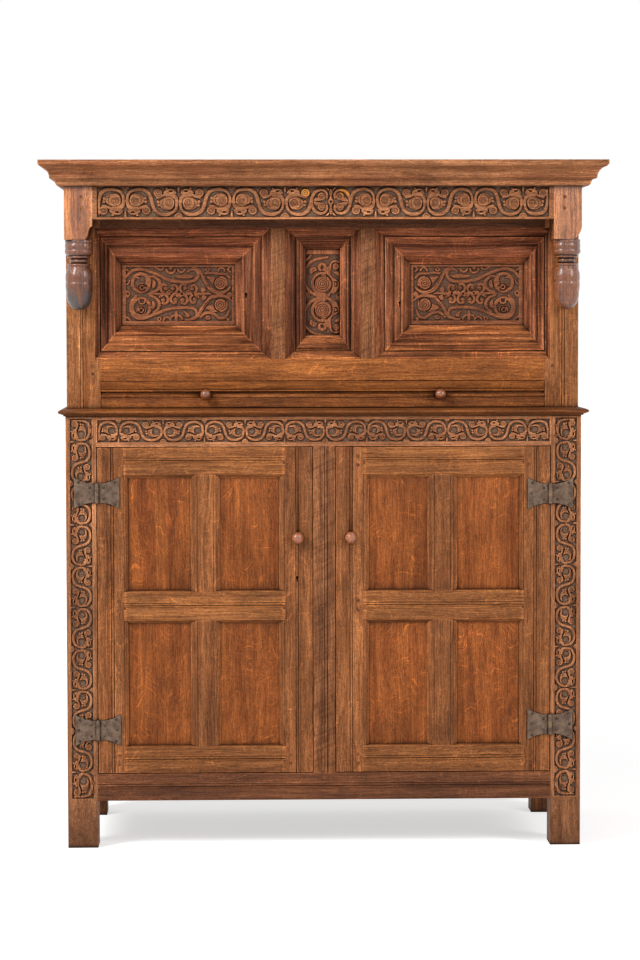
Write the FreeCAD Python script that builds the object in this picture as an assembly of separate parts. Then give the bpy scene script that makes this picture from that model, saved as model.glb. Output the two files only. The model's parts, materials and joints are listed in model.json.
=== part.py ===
import FreeCAD, Part
import math
import os

from FreeCAD import Vector

# Court cupboard of joined oak in two stages: a lower press with two panelled doors, and an
# upper case set back under a canopy whose frieze ends in two turned pendants.
# Millimetres. The front faces -Y, +Z is up, and the origin is on the floor under the middle
# of the whole outline, cornice included. Pieces on one side are made for +X and mirrored.

# Whole cupboard
case_width = 1275.0
case_depth = 545.0
total_height = 1700.0
cornice_overhang = 60.0
cornice_height = 61.5
canopy_reach = 70.0

# Heights in the lower stage; the openings share what the members leave of the total height
foot_height = 117.5
bottom_rail_height = 67.5
lower_frieze_height = 75.5
lower_opening_share = 0.7403
middle_top_thickness = 17.0
middle_top_overhang = 17.0

# Lower stage members
post_size = 75.0
lower_rail_thickness = 34.0
centre_muntin_width = 54.0
centre_muntin_thickness = 42.0
side_rail_thickness = 28.0
side_rail_inset = 4.0
side_middle_rail_height = 78.0
side_edge = 14.0
side_middle_rail_place_share = 0.5
side_muntin_width = 70.0
floor_thickness = 13.0
shelf_thickness = 16.0
shelf_place_share = 0.5
bearer_height = 20.0
bearer_width = 22.0
back_board_thickness = 12.0
back_board_count = 6
back_rail_thickness = 24.0
back_rail_height = 70.0
board_gap = 0.8

# Lower doors
door_gap = 2.0
door_thickness = 25.0
hinge_stile_width = 65.0
lock_stile_width = 68.0
door_muntin_width = 37.0
door_top_rail_height = 66.5
door_middle_rail_height = 71.0
door_middle_rail_place_share = 0.47
door_bottom_rail_height = 65.0
hinge_stile_edge = 11.0
lock_stile_edge = 15.0
door_muntin_edge = 19.0
door_rail_chamfer = 10.0
door_middle_chamfer = 7.6
door_rail_arris = 2.5
door_panel_split_share = 0.515

# Scratch mouldings and edges worked on the members
band_width = 20.0
band_depth = 2.2
panel_recess = 10.0

# Upper stage members
upper_stile_width = 84.0
upper_stile_depth = 60.0
upper_rail_thickness = 45.0
drawer_opening_height = 68.5
upper_middle_rail_height = 53.5
upper_top_rail_face_height = 147.2
centre_opening_half_width = 70.0
upper_muntin_width = 83.0
stile_strip_width = 13.0
muntin_strip_width = 24.0
top_strip_width = 20.8
bottom_strip_width = 19.0
strip_thickness = 14.0
strip_relief = 9.0
upper_floor_thickness = 14.0
upper_side_muntin_width = 64.0
top_board_thickness = 16.0
top_board_count = 3

# Canopy and pendants
canopy_frieze_height = 127.0
canopy_frieze_thickness = 30.0
block_width = 69.0
block_height = 177.0
block_notch_width = 20.0
block_notch_height = 33.0
canopy_side_rail_height = 94.0
pendant_length = 172.0
pendant_radius = 34.75

# Upper doors
upper_door_gap = 2.0
upper_door_back = 24.0
upper_door_relief = 10.0
upper_hinge_member = 50.0
upper_lock_member = 62.0
upper_top_member = 65.8
upper_bottom_member = 61.8
upper_panel_thickness = 10.0
upper_panel_lap = 10.0
pivot_inset = 9.0
pivot_radius = 2.2
pivot_engagement = 9.0
pivot_seat = 15.0
centre_moulding_side = 27.0
centre_moulding_top = 30.0
centre_moulding_bottom = 39.0

# Drawer
drawer_gap = 1.5
drawer_front_thickness = 22.0
drawer_relief = 3.0
drawer_side_thickness = 17.0
drawer_back_clearance = 39.0
drawer_side_height = 58.0
drawer_bottom_thickness = 9.0
drawer_knob_place_share = 0.53
runner_height = 14.0
runner_depth = 9.0
runner_clearance = 0.6
runner_place_share = 0.45

# Mortise and tenon joints, pegs and panel grooves
tenon_thickness = 9.0
tenon_setback = 12.0
tenon_length = 34.0
tenon_root = 20.0
tenon_inset = 8.0
mortise_spare = 1.0
peg_radius = 4.0
peg_length = 30.0
door_peg_length = 22.0
peg_proud = 0.8
peg_shoulder = 13.0
groove_depth = 9.0
groove_slack = 1.0
panel_tongue = 5.6
panel_field = 3.4
panel_bevel = 18.0
overrun = 5.0

# Iron butterfly hinges of the lower doors
leaf_length = 56.0
leaf_root_half_height = 24.0
leaf_tip_half_height = 38.7
leaf_waist_rise = 5.0
leaf_thickness = 2.5
knuckle_radius = 5.5
knuckle_standoff = 0.3
knuckle_gap = 0.4
knuckle_count = 3
hinge_pin_radius = 2.6
hinge_pin_head = 2.0
running_clearance = 0.05
leaf_clearance = 1.0
nail_radius = 1.4
nail_length = 18.0
nail_head_radius = 3.6
nail_head_height = 1.6
left_hinge_place_shares = (0.1345, 0.8597)
right_hinge_place_shares = (0.1457, 0.8539)
nail_place_shares = ((0.30, 0.36), (0.30, -0.36), (0.80, 0.70), (0.80, -0.70), (0.86, 0.02))

# Knobs
door_knob_radius = 15.0
door_knob_reach = 32.0
door_knob_height_share = 0.7225
door_knob_place = 37.0
drawer_knob_radius = 13.5
drawer_knob_reach = 28.0
knob_tang_radius = 5.0
knob_tang_length = 18.0

# Locks
lock_width = 62.0
lock_height = 54.0
lock_thickness = 12.0
lock_edge_inset = 4.0
bolt_height = 12.0
bolt_thickness = 6.0
bolt_throw = 10.0
bolt_clearance = 0.4
bolt_tip_inset = 2.0
bolt_length = 50.0
lower_keyhole_height_share = 0.6
left_keyhole_height_share = 0.5014
right_keyhole_height_share = 0.4249
keyhole_inset = 36.0
lower_keyhole_inset = 38.0
keyhole_radius = 3.5
keyhole_slot_width = 3.2
keyhole_slot_drop = 11.0

# Outline of a scratched band: hollow, fillet, bead
band_shares = ((0.0, 0.0, 0.0), (0.44, 0.0, -0.9), (0.5, 0.0, 0.0), (0.5, -1.0, 0.0),
               (0.92, -1.0, 0.95), (0.92, 0.0, 0.0), (1.0, 0.0, 0.0))
# Edge beside a panel: quirk, round, quirk, hollow down to the panel
edge_shares = ((0.0, 0.0, 0.0), (0.06, -0.14, 0.0), (0.42, -0.2, 0.08), (0.46, -0.36, 0.0),
               (1.0, -1.0, 0.1))
chamfer_shares = ((0.0, 0.0, 0.0), (1.0, -1.0, 0.0))
# Mitred strip round an opening: bead on the outside, ogee down to the opening
strip_shares = ((0.0, -0.12, 0.0), (0.26, -0.12, 0.1), (0.3, -0.26, 0.0), (0.66, -0.4, -0.1),
                (0.7, -0.32, 0.0), (1.0, -0.5, 0.06))
# Mitred member of an upper door, from its outer edge in to the panel
member_shares = ((0.0, -0.3, 0.0), (0.2, -0.26, 0.0), (0.21, -0.06, 0.0), (0.31, -0.06, 0.09),
                 (0.33, -0.2, 0.0), (0.38, -0.2, -0.05), (0.41, 0.0, 0.0), (0.63, 0.1, 0.04),
                 (0.65, 0.42, 0.0), (0.75, 0.42, 0.14), (0.77, 0.28, 0.0), (0.94, -0.4, -0.08),
                 (1.0, -0.62, 0.0))
centre_member_shares = ((0.0, -0.8, 0.0), (0.2, -0.76, 0.0), (0.24, -0.3, 0.0),
                        (0.46, -0.24, 0.08), (0.5, -0.06, 0.0), (0.64, -0.06, 0.12),
                        (0.68, -0.16, 0.0), (0.94, -0.6, -0.08), (1.0, -0.72, 0.0))
# Cornice section: shares of its reach and of its height
cornice_shares = ((0.0, 0.0, 0.0), (0.26, 0.0, 0.0), (0.36, 0.2, -0.02), (0.38, 0.25, 0.0),
                  (0.55, 0.28, 0.0), (0.56, 0.32, 0.0), (0.8, 0.7, 0.06), (0.84, 0.72, 0.0),
                  (1.0, 0.86, -0.03), (1.0, 1.0, 0.0), (0.0, 1.0, 0.0))
# Thumb moulded edge of the middle top: shares of overhang and thickness
thumb_shares = ((0.0, 0.0, 0.0), (0.25, 0.0, 0.0), (0.3, 0.2, 0.0), (0.85, 0.42, 0.0),
                (1.0, 0.62, -0.06), (0.82, 0.86, -0.06), (0.3, 1.0, -0.03), (0.0, 1.0, 0.0))
# Drawer front, from the lower edge up
drawer_shares = ((0.0, 0.0, 0.0), (0.36, 0.0, 0.0), (0.375, -0.5, 0.0), (0.39, 0.0, 0.0),
                 (0.5, 0.0, 0.25), (0.51, -1.0, 0.0), (0.6, -1.0, -0.2), (0.61, 0.0, 0.0),
                 (0.67, 0.0, 0.3), (0.68, -0.5, 0.0), (0.7, 0.0, 0.0), (1.0, 0.0, 0.0))
# Turned pendant, from the block down: shares of radius and of length, and the arc's rise
pendant_shares = ((0.97, 0.0, 0.0), (0.99, 0.035, 0.01), (0.95, 0.045, 0.0), (0.99, 0.055, 0.0),
                  (0.99, 0.13, 0.0), (0.965, 0.136, 0.0), (0.985, 0.142, 0.0),
                  (0.9, 0.215, 0.06), (0.8, 0.228, 0.0), (0.8, 0.258, 0.05), (0.56, 0.266, 0.0),
                  (0.56, 0.335, 0.09), (0.8, 0.342, 0.0), (0.8, 0.372, 0.05), (0.77, 0.38, 0.0),
                  (0.96, 0.5, 0.03), (0.96, 0.59, 0.01), (0.935, 0.6, 0.0), (0.955, 0.61, 0.0),
                  (0.9, 0.76, 0.03), (0.62, 0.95, 0.1), (0.3, 1.0, 0.04), (0.0, 1.0, 0.0))
# Knob section: shares of radius and of reach, and the arc's rise
knob_shares = ((0.62, 0.0, 0.0), (0.62, 0.05, 0.0), (0.42, 0.09, 0.0), (0.5, 0.17, -0.03),
               (1.0, 0.56, 0.13), (0.55, 0.93, 0.11), (0.15, 1.0, 0.03), (0.0, 1.0, 0.0))
# Worn lower corner of each pendant block: shares of the notch's width and height
right_notch_shares = ((0.0, 0.0, 0.0), (-1.0, 0.0, 0.0), (0.0, 1.0, -0.25))
left_notch_shares = ((0.0, 0.0, 0.0), (-1.0, 0.0, 0.0), (-0.66, 0.2, -0.06), (-0.45, 0.7, 0.0),
                     (0.0, 1.0, 0.12))

# Places worked out from the sizes above
half_width = case_width / 2
front = (cornice_overhang - case_depth) / 2
back = front + case_depth
openings_height = total_height - foot_height - bottom_rail_height - lower_frieze_height - \
    middle_top_thickness - drawer_opening_height - upper_middle_rail_height - \
    bottom_strip_width - top_strip_width - upper_top_rail_face_height - top_board_thickness
lower_opening_height = lower_opening_share * openings_height
upper_opening_height = openings_height - lower_opening_height
lower_opening_base = foot_height + bottom_rail_height
lower_opening_top = lower_opening_base + lower_opening_height
lower_top = lower_opening_top + lower_frieze_height
upper_base = lower_top + middle_top_thickness
post_inner = half_width - post_size
side_outer = half_width - side_rail_inset
side_inner = side_outer - side_rail_thickness
upper_front = front + canopy_reach
upper_stile_inner = half_width - upper_stile_width
drawer_opening_top = upper_base + drawer_opening_height
upper_middle_rail_top = drawer_opening_top + upper_middle_rail_height
upper_opening_base = upper_middle_rail_top + bottom_strip_width
upper_opening_top = upper_opening_base + upper_opening_height
upper_rail_base = upper_opening_top + top_strip_width
muntin_outer = centre_opening_half_width + upper_muntin_width
case_top = total_height - top_board_thickness
cornice_base = total_height - cornice_height
canopy_frieze_base = case_top - canopy_frieze_height
block_base = case_top - block_height
block_inner = half_width - block_width
canopy_side_rail_base = case_top - canopy_side_rail_height
back_plane = back - back_board_thickness
back_rail_plane = back_plane - back_rail_thickness
shelf_top = lower_opening_base + shelf_place_share * lower_opening_height
upper_floor_top = upper_middle_rail_top
side_low_rail_top = upper_floor_top - upper_floor_thickness
door_knob_height = lower_opening_base + door_knob_height_share * lower_opening_height
lower_keyhole_height = lower_opening_base + lower_keyhole_height_share * lower_opening_height
left_keyhole_height = upper_opening_base + left_keyhole_height_share * upper_opening_height
right_keyhole_height = upper_opening_base + right_keyhole_height_share * upper_opening_height
left_hinge_heights = [lower_opening_base + share * lower_opening_height
                      for share in left_hinge_place_shares]
right_hinge_heights = [lower_opening_base + share * lower_opening_height
                       for share in right_hinge_place_shares]
groove_from = panel_recess
groove_to = panel_recess + panel_tongue


def box(x0, x1, y0, y1, z0, z1):
    """Block between two planes on each axis."""
    return Part.makeBox(x1 - x0, y1 - y0, z1 - z0, Vector(x0, y0, z0))


def mirrored(shape):
    """The same piece on the other side of the cupboard."""
    return shape.mirror(Vector(), Vector(1, 0, 0))


def both(shapes):
    """Pieces of the right side with their left side copies."""
    return list(shapes) + [mirrored(shape) for shape in shapes]


def outline(points, origin, across, out):
    """Face of a closed outline. A point's third value is the rise of the arc that ends there."""
    spots = [origin + across * u + out * v for u, v, rise in points]
    edges = []
    for i, (u, v, rise) in enumerate(points):
        start, end = spots[i - 1], spots[i]
        if rise == 0:
            edges.append(Part.LineSegment(start, end).toShape())
            continue
        du, dv = u - points[i - 1][0], v - points[i - 1][1]
        lean = across * -dv + out * du
        middle = (start + end) * 0.5 + lean * (rise / math.hypot(du, dv))
        edges.append(Part.Arc(start, middle, end).toShape())
    return Part.Face(Part.Wire(edges))


def extruded(points, origin, across, out, run):
    """Solid with the given outline, drawn out along run."""
    solid = outline(points, origin, across, out).extrude(run)
    if solid.Volume < 0:
        solid.reverse()
    return solid


def scaled(shares, start, width, depth):
    """Outline points of a moulding from its shares."""
    return [(start + width * u, depth * v, depth * rise) for u, v, rise in shares]


def flipped(shares):
    """The same moulding read from its other end."""
    turned = []
    for i in range(len(shares) - 1, -1, -1):
        rise = shares[i + 1][2] if i + 1 < len(shares) else 0
        turned.append((1 - shares[i][0], shares[i][1], rise))
    return turned


def square(place):
    """Plain corner of a member's face."""
    return [(place, 0, 0)]


def band(flat_start, flat_width):
    """Scratched band in the middle of a flat."""
    return scaled(band_shares, flat_start + (flat_width - band_width) / 2, band_width, band_depth)


def faced(features, thickness):
    """Outline of a member: its moulded face, closed by a flat back."""
    first, last = features[0][0], features[-1][0]
    return [(last, -thickness, 0), (first, -thickness, 0)] + [(first, features[0][1], 0)] + \
        features[1:]


def upright(features, thickness, x, face, z0, z1, toward=1):
    """Vertical member whose face lies at y = face and whose outline starts at x."""
    return extruded(faced(features, thickness), Vector(x, face, z0), Vector(toward, 0, 0),
                    Vector(0, -1, 0), Vector(0, 0, z1 - z0))


def level(features, thickness, x0, x1, face, z):
    """Horizontal member whose outline starts at height z."""
    return extruded(faced(features, thickness), Vector(x0, face, z), Vector(0, 0, 1),
                    Vector(0, -1, 0), Vector(x1 - x0, 0, 0))


def join(pieces, male, female, tongue, across="y"):
    """Scribe one member to another and give it a tenon in a mortise."""
    x0, x1, y0, y1, z0, z1 = tongue
    sx = mortise_spare if across == "y" else 0
    sy = mortise_spare if across == "x" else 0
    mortise = box(x0 - sx, x1 + sx, y0 - sy, y1 + sy, z0 - mortise_spare, z1 + mortise_spare)
    scribed = pieces[male].cut(pieces[female])
    pieces[female] = pieces[female].cut(mortise)
    pieces[male] = scribed.fuse(box(*tongue)).removeSplitter()


def peg(pieces, names, x, z, face, length=peg_length):
    """Oak peg driven through a joint from the front."""
    pin = Part.makeCylinder(peg_radius, length + peg_proud, Vector(x, face - peg_proud, z),
                            Vector(0, 1, 0))
    for name in names:
        pieces[name] = pieces[name].cut(pin)
    return pin


def side_peg(pieces, names, y, z):
    """Oak peg driven through a joint from the side."""
    pin = Part.makeCylinder(peg_radius, peg_length + peg_proud,
                            Vector(half_width + peg_proud, y, z), Vector(-1, 0, 0))
    for name in names:
        pieces[name] = pieces[name].cut(pin)
    return pin


def peg_heights(z0, z1):
    """Heights of the two pegs of a rail's joint."""
    return (z0 + (z1 - z0) / 3, z1 - (z1 - z0) / 3)


def rectangle(x0, x1, y, z0, z1):
    """Closed wire of an upright rectangle."""
    corners = [Vector(x0, y, z0), Vector(x1, y, z0), Vector(x1, y, z1), Vector(x0, y, z1)]
    return Part.makePolygon(corners + corners[:1])


def panel(x0, x1, z0, z1, face):
    """Panel whose tongue sits in the grooves round an opening, bevelled on its back."""
    lap = groove_depth - groove_slack
    tongue = box(x0 - lap, x1 + lap, face, face + panel_tongue, z0 - lap, z1 + lap)
    rear = face + panel_tongue
    outer = rectangle(x0, x1, rear, z0, z1)
    inner = rectangle(x0 + panel_bevel, x1 - panel_bevel, rear + panel_field, z0 + panel_bevel,
                      z1 - panel_bevel)
    return tongue.fuse(Part.makeLoft([outer, inner], True, True)).removeSplitter()


def groove(pieces, names, x0, x1, z0, z1, face):
    """Groove for a panel's tongue, in every member round the opening."""
    room = box(x0 - groove_depth, x1 + groove_depth, face, face + panel_tongue,
               z0 - groove_depth, z1 + groove_depth)
    for name in names:
        pieces[name] = pieces[name].cut(room)


def turned_to_side(shape):
    """Piece drawn for the front, turned to the right side: x becomes y."""
    side = shape.copy()
    side.rotate(Vector(), Vector(0, 0, 1), 90)
    return side


def mitred_strips(x0, x1, z0, z1, widths, face, shares, relief, thickness):
    """Four mitred strips round an opening; widths are left, right, bottom and top."""
    left, right, low, high = widths
    xi0, xi1, zi0, zi1 = x0 + left, x1 - right, z0 + low, z1 - high
    deep = Vector(0, thickness + 2 * relief + overrun, 0)
    start = face - relief - overrun

    def wedge(corners):
        return Part.Face(Part.makePolygon([Vector(x, start, z) for x, z in corners] +
                                          [Vector(corners[0][0], start, corners[0][1])])).extrude(
                                              deep)

    strips = [
        (upright(scaled(shares, 0, left, relief), thickness, x0, face, z0, z1),
         [(x0, z0), (xi0, zi0), (xi0, zi1), (x0, z1)]),
        (upright(scaled(shares, 0, right, relief), thickness, x1, face, z0, z1, -1),
         [(x1, z0), (x1, z1), (xi1, zi1), (xi1, zi0)]),
        (level(scaled(shares, 0, low, relief), thickness, x0, x1, face, z0),
         [(x0, z0), (x1, z0), (xi1, zi0), (xi0, zi0)]),
        (extruded(faced(scaled(shares, 0, high, relief), thickness), Vector(x0, face, z1),
                  Vector(0, 0, -1), Vector(0, -1, 0), Vector(x1 - x0, 0, 0)),
         [(x0, z1), (xi0, zi1), (xi1, zi1), (x1, z1)]),
    ]
    return [strip.common(wedge(corners)) for strip, corners in strips]


def revolved(shares, radius, reach, base, across, out):
    """Turned piece: shares of radius and of reach, from its root at base out to its tip."""
    points = [(0, 0, 0)] + [(radius * u, reach * v, -radius * rise) for u, v, rise in shares]
    solid = outline(points, base, across, out).revolve(base, out, 360)
    if solid.Volume < 0:
        solid.reverse()
    return solid


def knob(x, z, face, radius, reach):
    """Turned knob with a tang through the wood behind it."""
    base = Vector(x, face, z)
    head = revolved(knob_shares, radius, reach, base, Vector(1, 0, 0), Vector(0, -1, 0))
    tang = Part.makeCylinder(knob_tang_radius, knob_tang_length, base, Vector(0, 1, 0))
    return head.fuse(tang)


def keyhole(x, z, face, depth):
    """Round hole with a slot below it, through a member."""
    start = face - upper_door_relief
    hole = Part.makeCylinder(keyhole_radius, depth + upper_door_relief, Vector(x, start, z),
                             Vector(0, 1, 0))
    slot = box(x - keyhole_slot_width / 2, x + keyhole_slot_width / 2, start,
               face + depth, z - keyhole_slot_drop, z)
    return hole.fuse(slot)


def nail(x, z, face, leaf_side):
    """Clout nail through a hinge leaf; leaf_side is the y of the leaf's face."""
    shank = Part.makeCylinder(nail_radius, nail_length, Vector(x, leaf_side, z), Vector(0, 1, 0))
    head = Part.makeCone(nail_head_radius, nail_head_radius / 2, nail_head_height,
                         Vector(x, leaf_side, z), Vector(0, -1, 0))
    return head.fuse(shank), shank


def hinge_axis():
    """The line that a lower door turns about, on the right side."""
    return half_width - post_size - door_gap / 2, front - knuckle_radius - knuckle_standoff


def butterfly_leaf(z, toward, knuckles, bore):
    """One leaf, drawn out along toward, with its own knuckles of the three."""
    x, y = hinge_axis()
    root = door_gap / 4
    points = [(root, -leaf_root_half_height, 0), (leaf_length, -leaf_tip_half_height,
                                                  leaf_waist_rise),
              (leaf_length, leaf_tip_half_height, 0), (root, leaf_root_half_height,
                                                       leaf_waist_rise)]
    leaf = extruded(points, Vector(x, front, z), Vector(toward, 0, 0), Vector(0, 0, 1),
                    Vector(0, -leaf_thickness, 0))
    step = 2 * leaf_root_half_height / knuckle_count
    room = knuckle_radius + leaf_clearance
    for i in range(knuckle_count):
        low = z - leaf_root_half_height + i * step
        if i in knuckles:
            barrel = Part.makeCylinder(knuckle_radius, step - knuckle_gap,
                                       Vector(x, y, low + knuckle_gap / 2))
            leaf = leaf.fuse(barrel)
        else:
            leaf = leaf.cut(box(x - room, x + room, front - room - overrun, front + overrun,
                                low - knuckle_gap / 2, low + step + knuckle_gap / 2))
    hole = Part.makeCylinder(bore, 2 * leaf_tip_half_height,
                             Vector(x, y, z - leaf_tip_half_height))
    return leaf.cut(hole).removeSplitter()


def hinge_leaf_set(heights, toward, knuckles, bore, pieces, wood):
    """Leaves and their nails on one side of the joint, with the wood drilled for them."""
    leaves, nails = [], []
    x, y = hinge_axis()
    for z in heights:
        leaf = butterfly_leaf(z, toward, knuckles, bore)
        for along, up in nail_place_shares:
            spike, shank = nail(x + toward * leaf_length * along, z + leaf_tip_half_height * up,
                                front, front - leaf_thickness)
            leaf = leaf.cut(shank)
            pieces[wood] = pieces[wood].cut(shank)
            nails.append(spike)
        leaves.append(leaf)
    return leaves, nails


def hinge_pin(z):
    """Pin of one butterfly hinge with a small head at each end."""
    x, y = hinge_axis()
    low = z - leaf_root_half_height
    shaft = Part.makeCylinder(hinge_pin_radius, 2 * leaf_root_half_height, Vector(x, y, low))
    for base, lean in ((low, -1), (low + 2 * leaf_root_half_height, 1)):
        shaft = shaft.fuse(Part.makeCone(hinge_pin_radius * 1.4, hinge_pin_radius, hinge_pin_head,
                                         Vector(x, y, base), Vector(0, 0, lean)))
    return shaft


def lower_door(hinge_heights, locked):
    """Right lower door: two stiles, three rails, two muntins, four panels and their pegs."""
    hinge_edge = post_inner - door_gap
    lock_edge = centre_muntin_width / 2 + door_gap
    low, high = lower_opening_base + door_gap, lower_opening_top - door_gap
    middle = low + door_middle_rail_place_share * (high - low)
    x_in = lock_edge + lock_stile_width
    x_out = hinge_edge - hinge_stile_width
    p = {}
    p["hinge_stile"] = upright(square(0) + band(0, hinge_stile_width) + scaled(
        edge_shares, hinge_stile_width, hinge_stile_edge, panel_recess),
        door_thickness, hinge_edge, front, low, high, -1)
    p["lock_stile"] = upright(square(0) + band(0, lock_stile_width) + scaled(
        edge_shares, lock_stile_width, lock_stile_edge, panel_recess),
        door_thickness, lock_edge, front, low, high)

    rails = {
        "bottom_rail": (low, 0, door_bottom_rail_height, door_rail_arris),
        "middle_rail": (middle, door_middle_chamfer, door_middle_rail_height, door_rail_arris),
        "top_rail": (high - door_top_rail_height, door_rail_chamfer, door_top_rail_height, 0),
    }
    flats = {}
    for name, (base, under, flat, over) in rails.items():
        foot = scaled(flipped(chamfer_shares), 0, under, panel_recess) if under else square(0)
        head = scaled(chamfer_shares, under + flat, over, panel_recess) if over else \
            square(under + flat)
        p[name] = level(foot + band(under, flat) + head, door_thickness, x_in, x_out, front,
                        base - under)
        flats[name] = (base, base + flat)
        for stile, shoulder, reach in (("lock_stile", x_in, -1), ("hinge_stile", x_out, 1)):
            xs = sorted((shoulder - reach * tenon_root, shoulder + reach * tenon_length))
            join(p, name, stile, (xs[0], xs[1], front + tenon_setback,
                                  front + tenon_setback + tenon_thickness,
                                  base + tenon_inset, base + flat - tenon_inset))

    opening_in, opening_out = x_in + lock_stile_edge, x_out - hinge_stile_edge
    muntin_total = door_muntin_width + 2 * door_muntin_edge
    inner_panel = (opening_out - opening_in - muntin_total) * (1 - door_panel_split_share)
    muntin_x = opening_in + inner_panel
    muntin_points = scaled(flipped(edge_shares), 0, door_muntin_edge, panel_recess) + scaled(
        edge_shares, door_muntin_edge + door_muntin_width, door_muntin_edge, panel_recess)
    levels = (("bottom_rail", "middle_rail", "lower_muntin"),
              ("middle_rail", "top_rail", "upper_muntin"))
    panels = []
    for below, above, muntin in levels:
        z0, z1 = flats[below][1], flats[above][0]
        p[muntin] = upright(muntin_points, door_thickness, muntin_x, front, z0, z1)
        for rail, z, reach in ((below, z0, -1), (above, z1, 1)):
            zs = sorted((z - reach * tenon_root, z + reach * tenon_length))
            join(p, muntin, rail, (muntin_x + door_muntin_edge + tenon_inset,
                                   muntin_x + muntin_total - door_muntin_edge - tenon_inset,
                                   front + tenon_setback, front + tenon_setback + tenon_thickness,
                                   zs[0], zs[1]))
        floor = z0 + door_rail_arris
        ceiling = z1 - rails[above][1]
        members = ["hinge_stile", "lock_stile", below, above, muntin]
        for x0, x1 in ((opening_in, muntin_x), (muntin_x + muntin_total, opening_out)):
            groove(p, members, x0, x1, floor, ceiling, front + panel_recess)
            panels.append(panel(x0, x1, floor, ceiling, front + panel_recess))

    pegs = []
    for name, (z0, z1) in flats.items():
        for z in peg_heights(z0, z1):
            pegs.append(peg(p, ["lock_stile", name], x_in - peg_shoulder, z, front,
                            door_peg_length))
            pegs.append(peg(p, ["hinge_stile", name], x_out + peg_shoulder, z, front,
                            door_peg_length))

    leaves, nails = hinge_leaf_set(hinge_heights, -1, (1,), hinge_pin_radius + running_clearance,
                                   p, "hinge_stile")
    head = knob(lock_edge + door_knob_place, door_knob_height, front, door_knob_radius,
                door_knob_reach)
    p["lock_stile"] = p["lock_stile"].cut(head)
    door = {"knob": [head], "hinge_leaves": leaves + nails, "panels": panels}
    if locked:
        p["lock_stile"] = p["lock_stile"].cut(
            keyhole(lock_edge + lower_keyhole_inset, lower_keyhole_height, front, door_thickness))
        case, bolt = lock(lock_edge, lower_keyhole_height, front + door_thickness,
                          lower_keyhole_inset)
        door["lock"] = [case]
        door["bolt"] = [bolt]
    door["frame"] = [p[name] for name in p] + pegs
    return door


def lock(edge, z, rear, key_inset):
    """Lock case on the back of a door and the bolt that slides in it towards the middle."""
    x0 = edge + lock_edge_inset
    y0 = rear
    z0 = z - lock_height / 2
    case = box(x0, x0 + lock_width, y0, y0 + lock_thickness, z0, z0 + lock_height)
    bolt_y = y0 + (lock_thickness - bolt_thickness) / 2
    bolt_z = z + lock_height / 2 - 2 * bolt_height
    tip = edge + bolt_tip_inset
    bolt = box(tip, tip + bolt_length, bolt_y, bolt_y + bolt_thickness, bolt_z,
               bolt_z + bolt_height)
    room = box(x0 - overrun, x0 + lock_width + overrun, bolt_y - bolt_clearance,
               bolt_y + bolt_thickness + bolt_clearance, bolt_z - bolt_clearance,
               bolt_z + bolt_height + bolt_clearance)
    key = keyhole(edge + key_inset, z, rear, lock_thickness)
    return case.cut(room).cut(key), bolt


def bolt_mortise(edge, z, rear):
    """Socket for a bolt in the muntin beside a door's edge."""
    bolt_y = rear + (lock_thickness - bolt_thickness) / 2
    bolt_z = z + lock_height / 2 - 2 * bolt_height
    reach = edge + bolt_tip_inset - bolt_throw - bolt_clearance - mortise_spare
    return box(reach, edge + bolt_tip_inset, bolt_y - bolt_clearance,
               bolt_y + bolt_thickness + bolt_clearance, bolt_z - bolt_clearance,
               bolt_z + bolt_height + bolt_clearance)


def lower_front(p):
    """Posts, frieze rail, bottom rail and centre muntin of the lower stage."""
    for side in ("right", "left"):
        sign = 1 if side == "right" else -1
        near, far = sorted((sign * post_inner, sign * half_width))
        p["front_post_" + side] = box(near, far, front, front + post_size, 0, lower_top)
        p["lower_rear_post_" + side] = box(near, far, back - post_size, back, 0, lower_top)
    p["frieze_rail"] = box(-post_inner, post_inner, front, front + lower_rail_thickness,
                           lower_opening_top, lower_top)
    p["bottom_rail"] = level(square(0) + band(0, bottom_rail_height) + square(bottom_rail_height),
                             lower_rail_thickness, -post_inner, post_inner, front, foot_height)
    pegs = []
    spans = {"frieze_rail": (lower_opening_top, lower_top),
             "bottom_rail": (foot_height, lower_opening_base)}
    for name, (z0, z1) in spans.items():
        for side, sign in (("right", 1), ("left", -1)):
            xs = sorted((sign * (post_inner - tenon_root), sign * (post_inner + tenon_length)))
            join(p, name, "front_post_" + side,
                 (xs[0], xs[1], front + tenon_setback, front + tenon_setback + tenon_thickness,
                  z0 + tenon_inset, z1 - tenon_inset))
            for z in peg_heights(z0, z1):
                pegs.append(peg(p, [name, "front_post_" + side],
                                sign * (post_inner + peg_shoulder), z, front))

    half = centre_muntin_width / 2
    p["centre_muntin"] = upright(square(0) + band(0, centre_muntin_width) +
                                 square(centre_muntin_width), centre_muntin_thickness, -half,
                                 front, lower_opening_base, lower_opening_top)
    for name, z, reach in (("bottom_rail", lower_opening_base, -1),
                           ("frieze_rail", lower_opening_top, 1)):
        zs = sorted((z - reach * tenon_root, z + reach * tenon_length))
        join(p, "centre_muntin", name, (tenon_inset - half, half - tenon_inset,
                                        front + tenon_setback,
                                        front + tenon_setback + tenon_thickness, zs[0], zs[1]))
        pegs.append(peg(p, [name, "centre_muntin"], 0, z + reach * peg_shoulder, front))
    socket = mirrored(bolt_mortise(half + door_gap, lower_keyhole_height, front + door_thickness))
    p["centre_muntin"] = p["centre_muntin"].cut(socket)
    return pegs


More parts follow.
